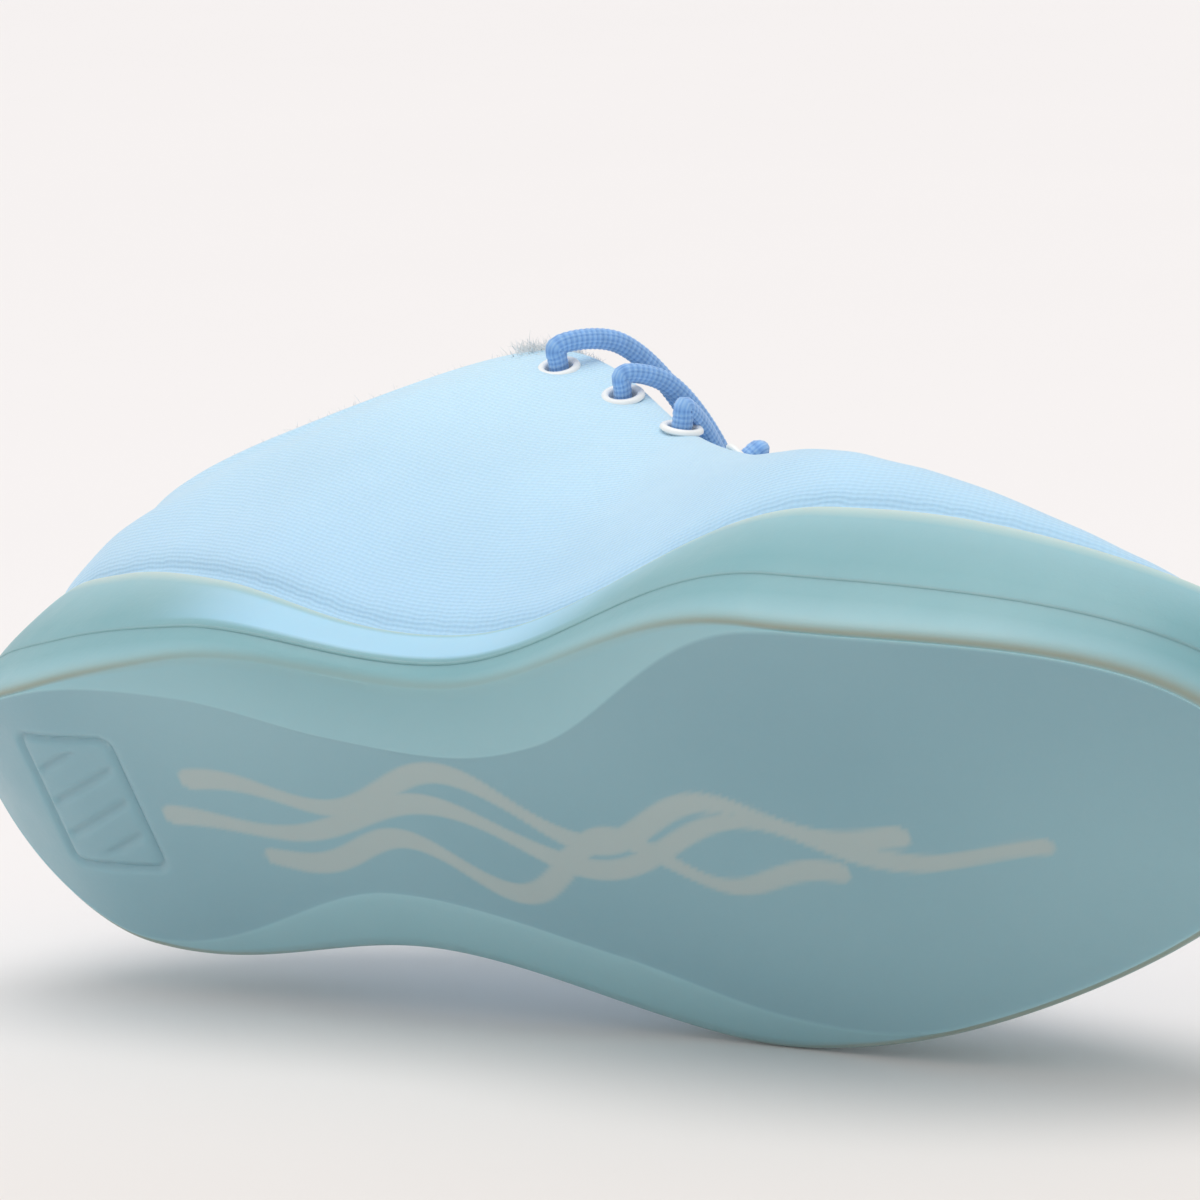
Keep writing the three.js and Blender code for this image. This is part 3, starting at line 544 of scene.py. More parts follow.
def build_cupsole():
    rows, high = sole_rows(), wall_height(PHI)
    rings = np.array([sole_point(PHI, r[:, 0], r[:, 1]) for r in rows]).transpose(1, 0, 2)
    count = len(rows)
    share = rows[:, :, 1].T / high[:, None]
    x = rings[..., 0]
    waist = smooth(1.5 * (1 - np.abs(x + 34) / 62))
    waist = waist * smooth((share - 0.42) / 0.06) * (1 - smooth((share - 0.84) / 0.08))
    # rim marks the rounded edge between the flat and the wall, where the rubber carries a painted highlight.
    rim = np.zeros_like(share)
    rim[:, 6:17] = np.exp(-((np.arange(6, 17) - 9.0) / 3.0) ** 2)[None] * (1 - 0.6 * scoop(PHI))[:, None]
    # The flat of the sole, as a fine grid across.
    half = COLS // 2
    top = rings[0:half + 1, 0]
    low = rings[(COLS - np.arange(half + 1)) % COLS, 0]
    w = np.linspace(0, 1, ACROSS + 1)[None, 1:-1, None]
    grid = top[1:-1, None] * (1 - w) + low[1:-1, None] * w
    relief = heel_relief(grid.reshape(-1, 3)).reshape(grid.shape[:2])
    border = np.minimum(w, 1 - w)[0, :, 0] * 2
    grid[..., 2] += (RELIEF_HEIGHT * relief * smooth(border / 0.12)[None]
                     + FLAT_RECESS * smooth(border / 0.05)[None])
    start = rings.reshape(-1, 3).shape[0]
    n, m = grid.shape[:2]

    def near(i):
        return i * count

    def far(i):
        return ((COLS - i) % COLS) * count

    def cell(i, j):
        return start + (i - 1) * m + j

    faces = [list(f) for f in quads(COLS, count, close_u=True)]
    faces += [list(f) for f in quads(n, m, start=start, flip=True)]
    for i in range(1, n):
        faces.append([near(i), cell(i, 0), cell(i + 1, 0), near(i + 1)])
        faces.append([cell(i, m - 1), far(i), far(i + 1), cell(i + 1, m - 1)])
    for i, end in ((1, 0), (n, half)):
        chain = [near(i)] + [cell(i, j) for j in range(m)] + [far(i)]
        for a, b in zip(chain, chain[1:]):
            faces.append([near(end), b, a] if end == 0 else [near(end), a, b])
    # The floor inside the cup.
    last = count - 1
    for i in range(half):
        loop = []
        for v in (near(i), near(i + 1), far(i + 1), far(i)):
            if v + last not in loop:
                loop.append(v + last)
        faces.append(loop)
    verts = np.vstack([rings.reshape(-1, 3), grid.reshape(-1, 3)])
    blank = np.zeros(n * m)
    flat = np.concatenate([np.zeros(start), np.ones(n * m)])
    pen = 1.55 + 0.45 * np.sin(verts[:, 0] / 9.0 + verts[:, 1] / 6.0)
    mark = (1 - smooth((wave_distance(verts) - pen) / 1.1)) * flat * 0.9
    dirt = sum(np.exp(-((verts[:, 0] - a) ** 2 + (verts[:, 1] - b) ** 2) / r ** 2) for a, b, r in SPOTS)
    dirt = np.clip(dirt, 0, 1) * (0.2 + 0.8 * flat)
    glow = 0.28 * flat * np.clip(0.5 + 0.5 * wave_noise(verts * [1, 1, 0], 130, 5, 2), 0, 1)
    attrs = {"flat": flat, "high": np.concatenate([np.clip(share, 0, 1).ravel(), blank]),
             "waist": np.concatenate([waist.ravel(), blank]), "rim": np.concatenate([rim.ravel(), blank]),
             "mark": mark, "dirt": dirt, "glow": glow}
    ob = make_mesh("rubber_cup", verts, faces, attrs, RUBBER, smooth_angle=38)
    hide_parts("cupsole")
    return ob


def mould_line():
    """The fine bead where the two halves of the mould met, round the wall of the cup."""
    path = sole_point(PHI, 0.36 + 0 * PHI, 0.34 * wall_height(PHI) + 0.5)
    tangent = unit(np.roll(path, -1, 0) - np.roll(path, 1, 0))
    side = unit(np.cross(tangent, [0, 0, 1.0]))
    sides, radius = 8, 0.42
    top = np.cross(side, tangent)
    points = tube_points(path, side, top, radius, radius, turn_angles(sides)).reshape(-1, 3)
    attrs = {key: np.zeros(len(points)) for key in ("flat", "waist", "rim", "mark", "dirt", "glow")}
    attrs["high"] = np.full(len(points), 0.5)
    return make_mesh("mould_line", points, quads(COLS, sides, close_u=True, close_v=True), attrs, RUBBER)


cup = build_cupsole()
mould_line()

# ------------------------------------------------------------------ eyelets, found from the CAD rings

PAIRS = 5
RIM_DEPTH = 1.6  # from the top of a rim down to the fabric

eyes = {}
for side in ("medial", "lateral"):
    for k in range(1, PAIRS + 1):
        pts = mesh_points(frame["nodes"][f"eyelet_{side}_{k}"].data)
        pts = np.unique(np.round(pts / MM, 3), axis=0)
        mean = pts.mean(0)
        values, vectors = np.linalg.eigh(np.cov((pts - mean).T))
        gaps = np.abs(values[[1, 2, 0]] - values[[2, 0, 1]])
        axis = vectors[:, int(np.argmin(gaps))]
        if axis[2] < 0:
            axis = -axis
        reach = (pts - mean) @ axis
        ring = pts[reach > reach.max() - 0.05]
        eyes[side, k] = (ring.mean(0) - axis * RIM_DEPTH, axis)


# ------------------------------------------------------------------ upper

UCOLS, UROWS = 720, 110
UPHI = turn_angles(UCOLS)
T = np.linspace(0, 1, UROWS) ** 0.92
FABRIC, PADDING, THIN_EDGE, THICK_EDGE = 1.7, 2.4, 0.9, 4.6
LINING_GAP, LINING_UNDER = 0.3, 1.2  # how far under the padding the lining's two faces lie
HOLE, HOLE_REACH = 3.2, 9.0
MOST_SWELL, MOST_SINK = 0.9, 0.4  # mm out, and the share of that inward
COARSE_U, COARSE_V = 6, 4  # the simulation's cells, in fine columns and rows
SIM_SCALE, SIM_FRAMES = 4, 20


def middle_thickness(phi, t):
    angle = np.abs(np.degrees(phi))
    angle = np.where(angle > 180, 360 - angle, angle)
    row = 1 + t * 7
    collar = smooth((angle - 120) / 18)[:, None]
    edge = THIN_EDGE + (THICK_EDGE - THIN_EDGE) * collar
    return PADDING + (edge - PADDING) * smooth((row - 4) / 2)[None]


def puff(grid, normals):
    """Lets the skin of the upper swell under a little air, held at the rubber and at the opening."""
    g, g_normals = grid[::COARSE_U, ::COARSE_V], normals[::COARSE_U, ::COARSE_V]
    n, m = g.shape[:2]
    faces = quads(n, m, close_u=True)
    corner = g.reshape(-1, 3)[faces]
    turned = np.cross(corner[:, 1] - corner[:, 0], corner[:, 3] - corner[:, 0])
    if (turned * g_normals.reshape(-1, 3)[faces[:, 0]]).sum() < 0:
        faces = faces[:, ::-1]
    me = bpy.data.meshes.new("puff_work")
    me.from_pydata((g.reshape(-1, 3) * MM * SIM_SCALE).tolist(), [], faces.tolist())
    ob = bpy.data.objects.new("puff_work", me)
    scene.collection.objects.link(ob)
    hold = ob.vertex_groups.new(name="hold")
    for share, rows in ((1.0, (0, m - 1)), (0.5, (1, m - 2))):
        hold.add([i * m + j for i in range(n) for j in rows], share, "REPLACE")
    mod = ob.modifiers.new("cloth", "CLOTH")
    cs = mod.settings
    cs.quality = 6
    cs.mass = 0.3
    cs.tension_stiffness = cs.compression_stiffness = 12
    cs.shear_stiffness = 6
    cs.bending_stiffness = 1.2
    cs.vertex_group_mass = "hold"
    cs.pin_stiffness = 6
    cs.shrink_min = -0.012
    cs.use_pressure = True
    cs.uniform_pressure_force = 4
    cs.effector_weights.gravity = 0
    mod.collision_settings.use_collision = False
    mod.point_cache.frame_start, mod.point_cache.frame_end = 1, SIM_FRAMES
    for f in range(1, SIM_FRAMES + 1):
        scene.frame_set(f)
    done = ob.evaluated_get(bpy.context.evaluated_depsgraph_get())
    moved = mesh_points(done.to_mesh()).reshape(n, m, 3) / (MM * SIM_SCALE)
    scene.frame_set(1)
    bpy.data.objects.remove(ob)
    shift = np.nan_to_num(((moved - g) * g_normals).sum(2))
    held = np.sin(np.pi * np.linspace(0, 1, m)) ** 0.7
    size = np.percentile(np.abs(shift), 98) + 1e-6
    shift = np.clip(shift / size, -MOST_SINK, 1) * min(size, MOST_SWELL) * held
    # Back up to the fine grid, with a smooth blend across.
    out = np.repeat(shift, COARSE_U, axis=0)
    kernel = np.hanning(2 * COARSE_U + 3)[1:-1]
    kernel /= kernel.sum()
    pad = len(kernel) // 2
    wide = np.concatenate([out[-pad:], out, out[:pad]])
    out = np.array([np.convolve(column, kernel, "valid") for column in wide.T]).T[:grid.shape[0]]
    rows = np.arange(grid.shape[1])
    return np.array([np.interp(rows, rows[::COARSE_V], line) for line in out])


def close_layer(name, outer, inner, mat, attrs_outer):
    """A band between two [column, row] grids, rounded over its top edge and open at the eyelets."""
    top_o, top_i = outer[:, -1], inner[:, -1]
    mid, arm = (top_o + top_i) / 2, (top_o - top_i) / 2
    up = unit(outer[:, -1] - outer[:, -2])
    radius = np.linalg.norm(arm, axis=1, keepdims=True)
    rounds = [mid + arm * math.cos(a) + up * radius * math.sin(a) for a in np.radians([30, 60, 90, 120, 150])]
    loop = np.concatenate([outer, np.stack(rounds, 1), inner[:, ::-1]], 1)
    faces = quads(*loop.shape[:2], close_u=True, close_v=True)
    middles = loop.reshape(-1, 3)[faces].mean(1)
    keep = np.ones(len(faces), bool)
    for centre, axis in eyes.values():
        away = middles - centre
        high = away @ axis
        keep &= (np.linalg.norm(away - high[:, None] * axis, axis=1) > HOLE) | (np.abs(high) > HOLE_REACH)
    attrs = {}
    for key, value in attrs_outer.items():
        at_edge = np.repeat(value[:, -1:], len(rounds), 1)
        attrs[key] = np.concatenate([value, at_edge, value[:, ::-1]], 1).ravel()
    return make_mesh(name, loop.reshape(-1, 3), faces[keep], attrs, mat)


skin = upper_surface(UPHI, T)
skin_n = grid_normals(skin)
if np.mean((skin_n[:, 10] * np.stack([np.cos(UPHI), np.sin(UPHI), 0 * UPHI], -1)).sum(1)) < 0:
    skin_n = -skin_n
swell = puff(skin, skin_n)
length = np.cumsum(np.linalg.norm(np.diff(skin, axis=1), axis=2), 1)
length = np.concatenate([np.zeros((UCOLS, 1)), length], 1)
around = np.concatenate([[0], np.cumsum(np.linalg.norm(np.diff(skin[:, 50], axis=0), axis=1))])
total_len = length[:, -1:]
hold = smooth(length / 6) * smooth((total_len - length) / 5)
soft = wave_noise(skin.reshape(-1, 3), 46, 3, 3).reshape(skin.shape[:2]) * 0.35
# Small creases that run along the rubber and fade up the fabric.
crease = -0.6 * np.exp(-((length - 2.6) / 1.5) ** 2) + 0.35 * np.exp(-((length - 7.5) / 3.2) ** 2)
seat = 0.9 * smooth(length / 14) * smooth((total_len - length) / 16)
lift = (swell + soft) * hold + crease + seat
body = skin + skin_n * lift[..., None]
depth = FABRIC + middle_thickness(UPHI, T)
under = skin - skin_n * depth[..., None]
# The fabric goes on down inside the cup, to the midsole.
foot = sole_point(UPHI, INSET, midsole_top(LENGTH / 2 * np.cos(UPHI)) + 0.3)
drop = np.linspace(0, 1, 5)[None, :-1, None]
stem = foot[:, None] + (body[:, :1] - foot[:, None]) * drop
inward = skin_n[:, 0] * np.array([1, 1, 0.0])
outer_all = np.concatenate([stem, body], 1)
inner_all = np.concatenate([stem - inward[:, None] * depth[:, :1, None], under], 1)
climb = np.concatenate([np.linspace(-20, 0, 5)[None, :-1].repeat(UCOLS, 0), length], 1)
turn = np.broadcast_to(around[:, None], climb.shape)
# The higher the fabric, the lighter its colour: painted light from above.
painted_top_light = np.clip((outer_all[..., 2] - 30) / 70, 0, 1)
weave = {"climb": climb, "turn": turn, "painted_top_light": painted_top_light}
upper = close_layer("upper_padded", outer_all, inner_all, KNIT, weave)


def lining_face(under_padding):
    deep = depth[..., None] + under_padding
    return np.concatenate([stem - inward[:, None] * deep[:, :1], skin - skin_n * deep], 1)


lining = close_layer("lining_knit", lining_face(LINING_GAP), lining_face(LINING_UNDER), LINING, weave)

# ------------------------------------------------------------------ eyelets

HOLE_RADIUS, FLANGE_RADIUS = 2.7, 4.3


def eyelet_mesh(name, centre, axis):
    hole, flange = HOLE_RADIUS, FLANGE_RADIUS
    turns = 48
    profile = [(hole, -5.0), (hole + 0.4, -5.3), (hole + 0.8, -4.9), (hole + 0.6, -4.4), (hole + 0.6, 0.15)]
    profile += [(flange - 0.4, 0.15), (flange, 0.5)]
    mid = (hole + flange) / 2
    for a in np.radians(np.linspace(0, 180, 12)):
        profile.append((mid + (flange - mid) * math.cos(a), 0.6 + 0.8 * math.sin(a)))
    profile.append((hole, 0.2))
    other = unit(np.cross(axis, [1, 0, 0]))
    third = np.cross(axis, other)
    rings = [centre + r * (np.cos(a) * other + np.sin(a) * third) + h * axis
             for a in turn_angles(turns) for r, h in profile]
    faces = quads(turns, len(profile), close_u=True, close_v=True)
    return make_mesh(name, rings, faces, {}, EYELET, smooth_angle=50)


for (side, k), (centre, axis) in eyes.items():
    ob = eyelet_mesh(f"rim_{side}_{k}", centre, axis)
    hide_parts(f"eyelet_{side}_{k}")

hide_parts("upper_shell", "toe_puff", "vamp_foam", "lateral_eyestay_tape", "medial_eyestay_tape",
            "lateral_quarter_foam", "medial_quarter_foam", "lateral_instep_foam", "medial_instep_foam",
            "collar_pad", "heel_counter")
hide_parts("vamp_lining", "quarter_lining")

# ------------------------------------------------------------------ fleece roll with pile

ROLL_START, ROLL_HIDDEN = 107, 112  # degrees from the toe, where the roll starts and where it sinks inside
ROLL_RINGS, ROLL_SIDES, ROLL_RADIUS = 200, 28, 4.2
FA = np.radians(np.linspace(ROLL_START, 360 - ROLL_START, ROLL_RINGS))
HAIR_WIDTHS = (0.10, 0.085, 0.06, 0.02)
HAIR_STOPS = (0, 0.4, 0.75, 1.0)
HAIR_TURNS = (0, 2.094, 4.189)
DROOP = np.array([0, 0, 0.25])

edge = opening_at(FA)
near_edge = upper_surface(FA, np.array([0.93, 1.0]))
run = unit(np.gradient(edge, axis=0))
col = near_edge[:, 1] - near_edge[:, 0]
col = unit(col - (col * run).sum(1, keepdims=True) * run)
out_dir = np.cross(run, col)
if np.mean(out_dir[:, 0] * np.cos(FA) + out_dir[:, 1] * np.sin(FA)) < 0:
    out_dir = -out_dir
ends = smooth(np.minimum(np.arange(ROLL_RINGS), np.arange(ROLL_RINGS)[::-1]) / 12)
base_r = ROLL_RADIUS * (0.3 + 0.7 * ends)
hide = smooth((np.minimum(np.degrees(FA), 360 - np.degrees(FA)) - ROLL_HIDDEN) / 12)[:, None]
path = edge - out_dir * (3.9 + 1.9 * hide) + col * (1.2 - 2.2 * hide)
wide_r = base_r[:, None, None]
pts = tube_points(path, out_dir, col, wide_r, wide_r, turn_angles(ROLL_SIDES))
lump = 1 + 0.10 * wave_noise(pts.reshape(-1, 3), 7, 11, 3).reshape(pts.shape[:2])
pts = path[:, None] + (pts - path[:, None]) * lump[..., None]
fleece = make_mesh("fleece_roll", pts.reshape(-1, 3), tube_faces(ROLL_RINGS, ROLL_SIDES), {}, FLEECE)
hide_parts("collar_fleece")


def hair_faces(count):
    """Three rings of quads on each hair, which has a triangle of points at each stop."""
    cells = []
    for level in range(len(HAIR_STOPS) - 1):
        for b in range(3):
            p, q = level * 3 + b, level * 3 + (b + 1) % 3
            cells.append([p, q, q + 3, p + 3])
    return (np.array(cells)[None] + (np.arange(count) * 3 * len(HAIR_STOPS))[:, None, None]).reshape(-1, 4)


def build_pile():
    count = 42000
    i = rng.integers(0, ROLL_RINGS - 1, count)
    f = rng.random(count)[:, None]
    centre = path[i] * (1 - f) + path[i + 1] * f
    angle = rng.uniform(0, 2 * np.pi, count)
    direction = np.cos(angle)[:, None] * out_dir[i] + np.sin(angle)[:, None] * col[i]
    # Hairs that would pierce the fabric outside are left out.
    outward, upward = (direction * out_dir[i]).sum(1), (direction * col[i]).sum(1)
    shown = (hide[i, 0] < 0.3) | (outward < 0.2) | (upward > 0.8)
    i, centre, direction = i[shown], centre[shown], direction[shown]
    count = len(i)
    root = centre + direction * (base_r[i] * 0.93)[:, None]
    lean = unit(direction + 0.55 * rng.normal(size=(count, 3)))
    curl = rng.normal(size=(count, 3))
    curl = unit(curl - (curl * lean).sum(1, keepdims=True) * lean)
    size = rng.uniform(1.6, 3.6, count)[:, None] * (0.75 + 0.25 * ends[i])[:, None]
    bend = rng.uniform(0.3, 1.5, count)[:, None]
    across = np.cross(lean, curl)
    points = []
    for s, w in zip(HAIR_STOPS, HAIR_WIDTHS):
        c = root + lean * size * s - DROOP * s * s * size + curl * size * bend * (s * s) * 0.6
        points += [c + w * (math.cos(b) * curl + math.sin(b) * across) for b in HAIR_TURNS]
    return make_mesh("fleece_pile", np.stack(points, 1).reshape(-1, 3), hair_faces(count), {}, FLEECE)


build_pile()

# ------------------------------------------------------------------ lace

DEEP = 3.8  # from the outside of the fabric to where the lace bends, inside an eyelet
LACE_HALF_HEIGHT, LACE_HALF_WIDTH, LACE_SIDES = 1.55, 2.05, 36
LACE_CLEAR = 3.4  # lace centre over the edge of the opening
BRAID_STRANDS, BRAID_PITCH, BRAID_DEPTH = 7, 2.7, 0.075


def eye_point(side, k, height):
    centre, axis = eyes["lateral" if side > 0 else "medial", k + 1]
    return centre + axis * height


edge_line = opening_at(np.linspace(0, 2 * np.pi, 1441))


def over_edge(side, k):
    c = eye_point(side, k, 0)
    same_side = edge_line[np.sign(edge_line[:, 1]) == side]
    p = same_side[np.linalg.norm(same_side - c, axis=1).argmin()].copy()
    p[2] += LACE_CLEAR
    return p


def lace_points():
    """The route: up through one eyelet, over the tongue, down its partner, and on to the next pair."""
    inner = -DEEP - 2.2 - 3.2
    through = [-DEEP - 4.2, -DEEP - 3.2, 2.8, 5.0]
    side, last = 1, PAIRS - 1
    front = eye_point(side, last, inner)
    pts = [front + [9, side * 9, -19], front + [4, side * 6, -8]]
    for k in range(last, -1, -1):
        pts += [eye_point(side, k, h) for h in through]
        middle = (over_edge(side, k) + over_edge(-side, k)) / 2
        middle[2] += 6.0 if k == 0 else (4.5 if k == 1 else 1.2)
        start, end = over_edge(side, k), over_edge(-side, k)
        if k < 2:
            slack = np.array([4.5, 0, 1.2]) if k == 0 else np.array([2.0, 0, 0.6])
            start, end, middle = start + slack, end + slack, middle + slack * 1.9
        pts += [start, middle, end]
        pts += [eye_point(-side, k, h) for h in through[::-1]]
        side = -side
        if k > 0:
            pts.append((eye_point(side, k, inner) + eye_point(side, k - 1, inner)) / 2)
    rear = eye_point(side, 0, inner)
    pts += [rear + [3, side * 3, -9], rear + [8, side * 2.9, -19]]
    return np.array(pts)


def build_lace():
    knots = lace_points()
    t = np.linspace(0, len(knots) - 1, 60 * (len(knots) - 1))
    fine = catmull(knots, t, power=0.5)
    s = np.concatenate([[0], np.cumsum(np.linalg.norm(np.diff(fine, axis=0), axis=1))])
    step = 0.34
    n = int(s[-1] / step)
    u = np.linspace(0, s[-1], n)
    path = np.stack([np.interp(u, s, fine[:, k]) for k in range(3)], -1)
    tangent = unit(np.gradient(path, axis=0))
    wide = np.empty_like(path)
    before = np.array([0, 0, 1.0])
    for i in range(n):
        before = unit(before - tangent[i] * (before @ tangent[i]))
        wide[i] = before
    ang = turn_angles(LACE_SIDES)
    strand, pitch = BRAID_STRANDS * ang[None], u[:, None] * BRAID_PITCH
    braid = np.cos(strand + pitch) * np.cos(strand - pitch)
    # relief sets the painted shade in the braid's grooves and the painted highlight on its crests.
    relief = 0.5 + 0.5 * braid
    swell = (1 + BRAID_DEPTH * braid)[..., None]
    third = np.cross(tangent, wide)
    pts = tube_points(path, wide, third, LACE_HALF_HEIGHT * swell, LACE_HALF_WIDTH * swell, ang).reshape(-1, 3)
    return make_mesh("braided_lace", pts, tube_faces(n, LACE_SIDES), {"relief": relief.ravel()}, LACE)


lace = build_lace()
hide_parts("lace")

# ------------------------------------------------------------------ tongue

TONGUE_LENGTH, TONGUE_HALF = 165, 18  # mm of fabric, for the weave, the rim and the stitching
THICK, RIM, STITCH_IN = 6.7, 3.2, 5.5
tp = mesh_points(frame["nodes"]["tongue_shell"].data) / MM
mid_line = tp[np.abs(tp[:, 1]) < 1.5]
base_pt = mid_line[mid_line[:, 0] > mid_line[:, 0].max() - 1.0]
base_pt = base_pt[base_pt[:, 2].argmax()]
LINE = [[base_pt[0], base_pt[2]], [26, 52.5], [-8, 72.5], [-44, 97], [-76, 118]]
tn, tm = 61, 120
tw = np.linspace(-1, 1, tn)
tt = np.linspace(0, 1, tm)
centre = catmull(np.array(LINE, float), tt * 4)
tx = np.broadcast_to(centre[None, :, 0], (tn, tm))
ty = tw[:, None] * (15 + 4.5 * smooth(4 * tt) + 5 * tt)[None]
tz = centre[None, :, 1] - (4 + 10 * tt)[None] * (tw ** 2)[:, None]
top = np.stack([tx, ty, tz], -1)
tnorm = grid_normals(top, wraps=False)
if tnorm[tn // 2, tm // 2, 2] < 0:
    tnorm = -tnorm
from_side = (1 - np.abs(tw)) * TONGUE_HALF
from_tip = (1 - tt) * TONGUE_LENGTH


def rounded(distance):
    """Height of a round rim, 0 at the edge and 1 from RIM inward."""
    return np.sqrt(1 - (1 - np.clip(distance / RIM, 0, 1)) ** 2)


round_w = rounded(from_side)[:, None] * rounded(from_tip)[None]
stitch = (np.exp(-((from_side - STITCH_IN) / 0.8) ** 2)[:, None]
          + np.exp(-((from_tip - STITCH_IN - 0.5) / 0.8) ** 2)[None])
stitch = np.clip(stitch, 0, 1)
bulge = 0.5 * np.clip(1 - (tw / 0.72) ** 2, 0, 1)[:, None] * smooth(from_tip / 18)[None]
ridge = wave_noise(top.reshape(-1, 3), 26, 21, 3).reshape(tn, tm) * 0.25
lift_t = (-THICK / 2 * (1 - round_w)) + (bulge + ridge - 0.5 * stitch) * round_w
low_t = -THICK / 2 - THICK / 2 * round_w + 0.3 * stitch
face_top = top + tnorm * lift_t[..., None]
face_low = top + tnorm * np.minimum(low_t, lift_t - 0.02)[..., None]
loop = np.concatenate([face_top, face_low[:, ::-1]], 1)
faces = [list(f) for f in quads(tn, 2 * tm, close_v=True)]
for first, back in ((0, False), ((tn - 1) * 2 * tm, True)):
    for j in range(tm - 1):
        q = [first + j, first + j + 1, first + 2 * tm - 2 - j, first + 2 * tm - 1 - j]
        faces.append(q if back else q[::-1])


def both(v):
    v = np.broadcast_to(v, (tn, tm))
    return np.concatenate([v, v[:, ::-1]], 1).ravel()


weave = {"climb": both(tt[None] * TONGUE_LENGTH), "turn": both(tw[:, None] * TONGUE_HALF), "painted_top_light": both(0.6)}
tongue = make_mesh("tongue_padded", loop.reshape(-1, 3), faces, weave, KNIT, body="tongue")
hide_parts("tongue_shell", "tongue_foam", "tongue_lining")

# ------------------------------------------------------------------ sock liner, from its CAD body

me = frame["nodes"]["sock_liner"].data.copy()
liner = bpy.data.objects.new("liner_padded", me)
scene.collection.objects.link(liner)
me.materials.clear()
me.materials.append(LINER)
weld = liner.modifiers.new("weld", "WELD")
weld.merge_threshold = 0.00005
remesh = liner.modifiers.new("remesh", "REMESH")
remesh.mode = "VOXEL"
remesh.voxel_size = 0.0012
bpy.context.view_layer.objects.active = liner
liner.select_set(True)
bpy.ops.object.modifier_apply(modifier="weld")
bpy.ops.object.modifier_apply(modifier="remesh")
liner.select_set(False)
me = liner.data
lp = mesh_points(me)
ln = np.empty(lp.size, dtype=np.float32)
me.vertex_normals.foreach_get("vector", ln)
pucker = (wave_noise(lp / MM, 14, 31, 3) * 0.10 * MM)[:, None].astype(np.float32)
lp += ln.reshape(-1, 3) * pucker
me.vertices.foreach_set("co", lp.ravel())
add_attributes(me, {"climb": lp[:, 0] / MM + LENGTH / 2, "turn": lp[:, 1] / MM, "painted_top_light": 0 * lp[:, 0] + 0.5})
me.shade_smooth()
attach(liner, "liner")
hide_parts("sock_liner")

# ------------------------------------------------------------------ the layers that stay as CAD bodies

slots = {p["node"]: p["material_slot"] for p in frame["record"]["subparts"]}
for name, ob in frame["nodes"].items():
    if ob.hide_render:
        continue
    mat = INNER.get(slots.get(name))
    if mat:
        ob.data.materials.clear()
        ob.data.materials.append(mat)

# ------------------------------------------------------------------ stage

def one_sided(name, color, toward=None, near_shade_color=None):
    """Paper that shows from its front only; its colour may darken along one direction, a painted shade."""
    m, nodes, links, s = material(name)
    co = object_coords(nodes)
    grain = noise(nodes, links, co, 6, 3)
    base = mixer(nodes, links, grain, color + (1,), tuple(c * 0.985 for c in color) + (1,))
    # Darker towards the given direction: painted shade.
    if toward is not None:
        dot = nodes.new("ShaderNodeVectorMath")
        dot.operation = "DOT_PRODUCT"
        links.new(co, dot.inputs[0])
        dot.inputs[1].default_value = tuple(toward)
        near = times(nodes, links, dot.outputs["Value"], 1.9)
        near = maths(nodes, links, "ADD", near, 0.22, clamp=True)
        base = mixer(nodes, links, near, base, near_shade_color + (1,))
    links.new(base, s.inputs["Base Color"])
    set_inputs(s, Roughness=0.75, Specular_IOR_Level=0.2)
    clear = nodes.new("ShaderNodeBsdfTransparent")
    back = nodes.new("ShaderNodeNewGeometry")
    mixs = nodes.new("ShaderNodeMixShader")
    links.new(back.outputs["Backfacing"], mixs.inputs[0])
    links.new(s.outputs[0], mixs.inputs[1])
    links.new(clear.outputs[0], mixs.inputs[2])
    links.new(mixs.outputs[0], nodes["Material Output"].inputs["Surface"])
    return m


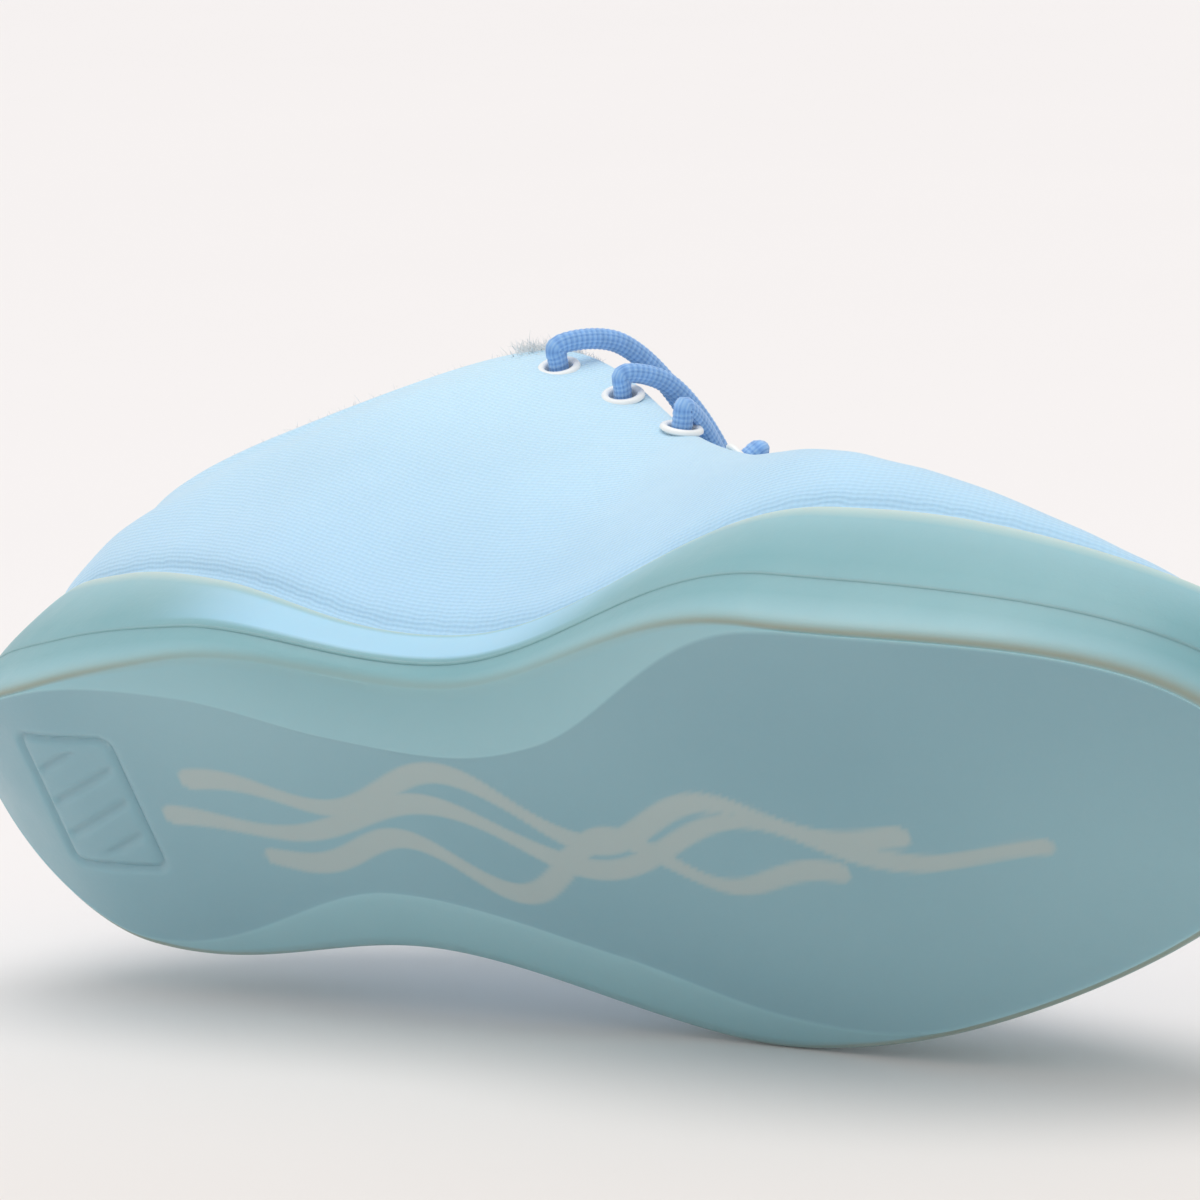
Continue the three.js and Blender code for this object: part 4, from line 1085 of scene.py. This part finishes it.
def plane(name, centre, normal, size, mat):
    normal = Vector(normal).normalized()
    quat = normal.to_track_quat("Z", "Y")
    corners = ((-size, -size), (size, -size), (size, size), (-size, size))
    verts = [quat @ Vector((x, y, 0)) + Vector(centre) for x, y in corners]
    me = bpy.data.meshes.new(name)
    me.from_pydata([tuple(v) for v in verts], [], [(0, 1, 2, 3)])
    me.materials.append(mat)
    ob = bpy.data.objects.new(name, me)
    scene.collection.objects.link(ob)
    return ob


# Two one-sided floors: the tilted one carries the shoe as it lies on its side in the main view, and the
# level one, seen by the camera alone, stands under it in views from elsewhere.
TILT, ROLL = math.radians(8), -0.032
floor_n = unit(math.cos(TILT) * (U_AXIS + ROLL * R_AXIS) + math.sin(TILT) * D_AXIS)
cup_pts = mesh_points(cup.data)
level = (cup_pts @ floor_n).min() - 0.0002
middle = cup_pts.mean(0)
centre = middle - floor_n * (middle @ floor_n - level)
toward = unit(D_AXIS - floor_n * (D_AXIS @ floor_n))
# The paper darkens towards the camera side: painted shade on the near part of the table.
paper = one_sided("paper", (0.85, 0.825, 0.82), toward, (0.70, 0.655, 0.61))
plane("table_tilted", centre, floor_n, 7.0, paper)
level_paper = one_sided("paper_standing", (0.80, 0.77, 0.75))
stand = plane("table_standing", (0, 0, -0.0003), (0, 0, 1), 1.6, level_paper)
for flag in ("visible_diffuse", "visible_glossy", "visible_transmission", "visible_shadow"):
    setattr(stand, flag, False)

world = bpy.data.worlds.new("world")
scene.world = world
world.use_nodes = True
bg = world.node_tree.nodes["Background"]
bg.inputs[0].default_value = (0.96, 0.95, 0.955, 1)
bg.inputs[1].default_value = 0.72


def light(kind, name, direction, energy, color):
    data = bpy.data.lights.new(name, kind)
    data.energy = energy
    data.color = color
    ob = bpy.data.objects.new(name, data)
    ob.rotation_euler = Vector(direction).normalized().to_track_quat("Z", "Y").to_euler()
    scene.collection.objects.link(ob)
    return ob


key = light("SUN", "key", 0.94 * floor_n + 0.02 * D_AXIS - 0.10 * R_AXIS, 1.3, (1.0, 0.99, 0.97))
key.data.angle = math.radians(50)
fill_way = 0.35 * floor_n + 0.9 * D_AXIS - 0.25 * R_AXIS
fill = light("AREA", "fill", fill_way, 5, (0.97, 0.98, 1.0))
fill.data.shape = "DISK"
fill.data.size = 1.8
fill.location = Vector(middle) + Vector(fill_way).normalized() * 2.2
fill.visible_camera = False
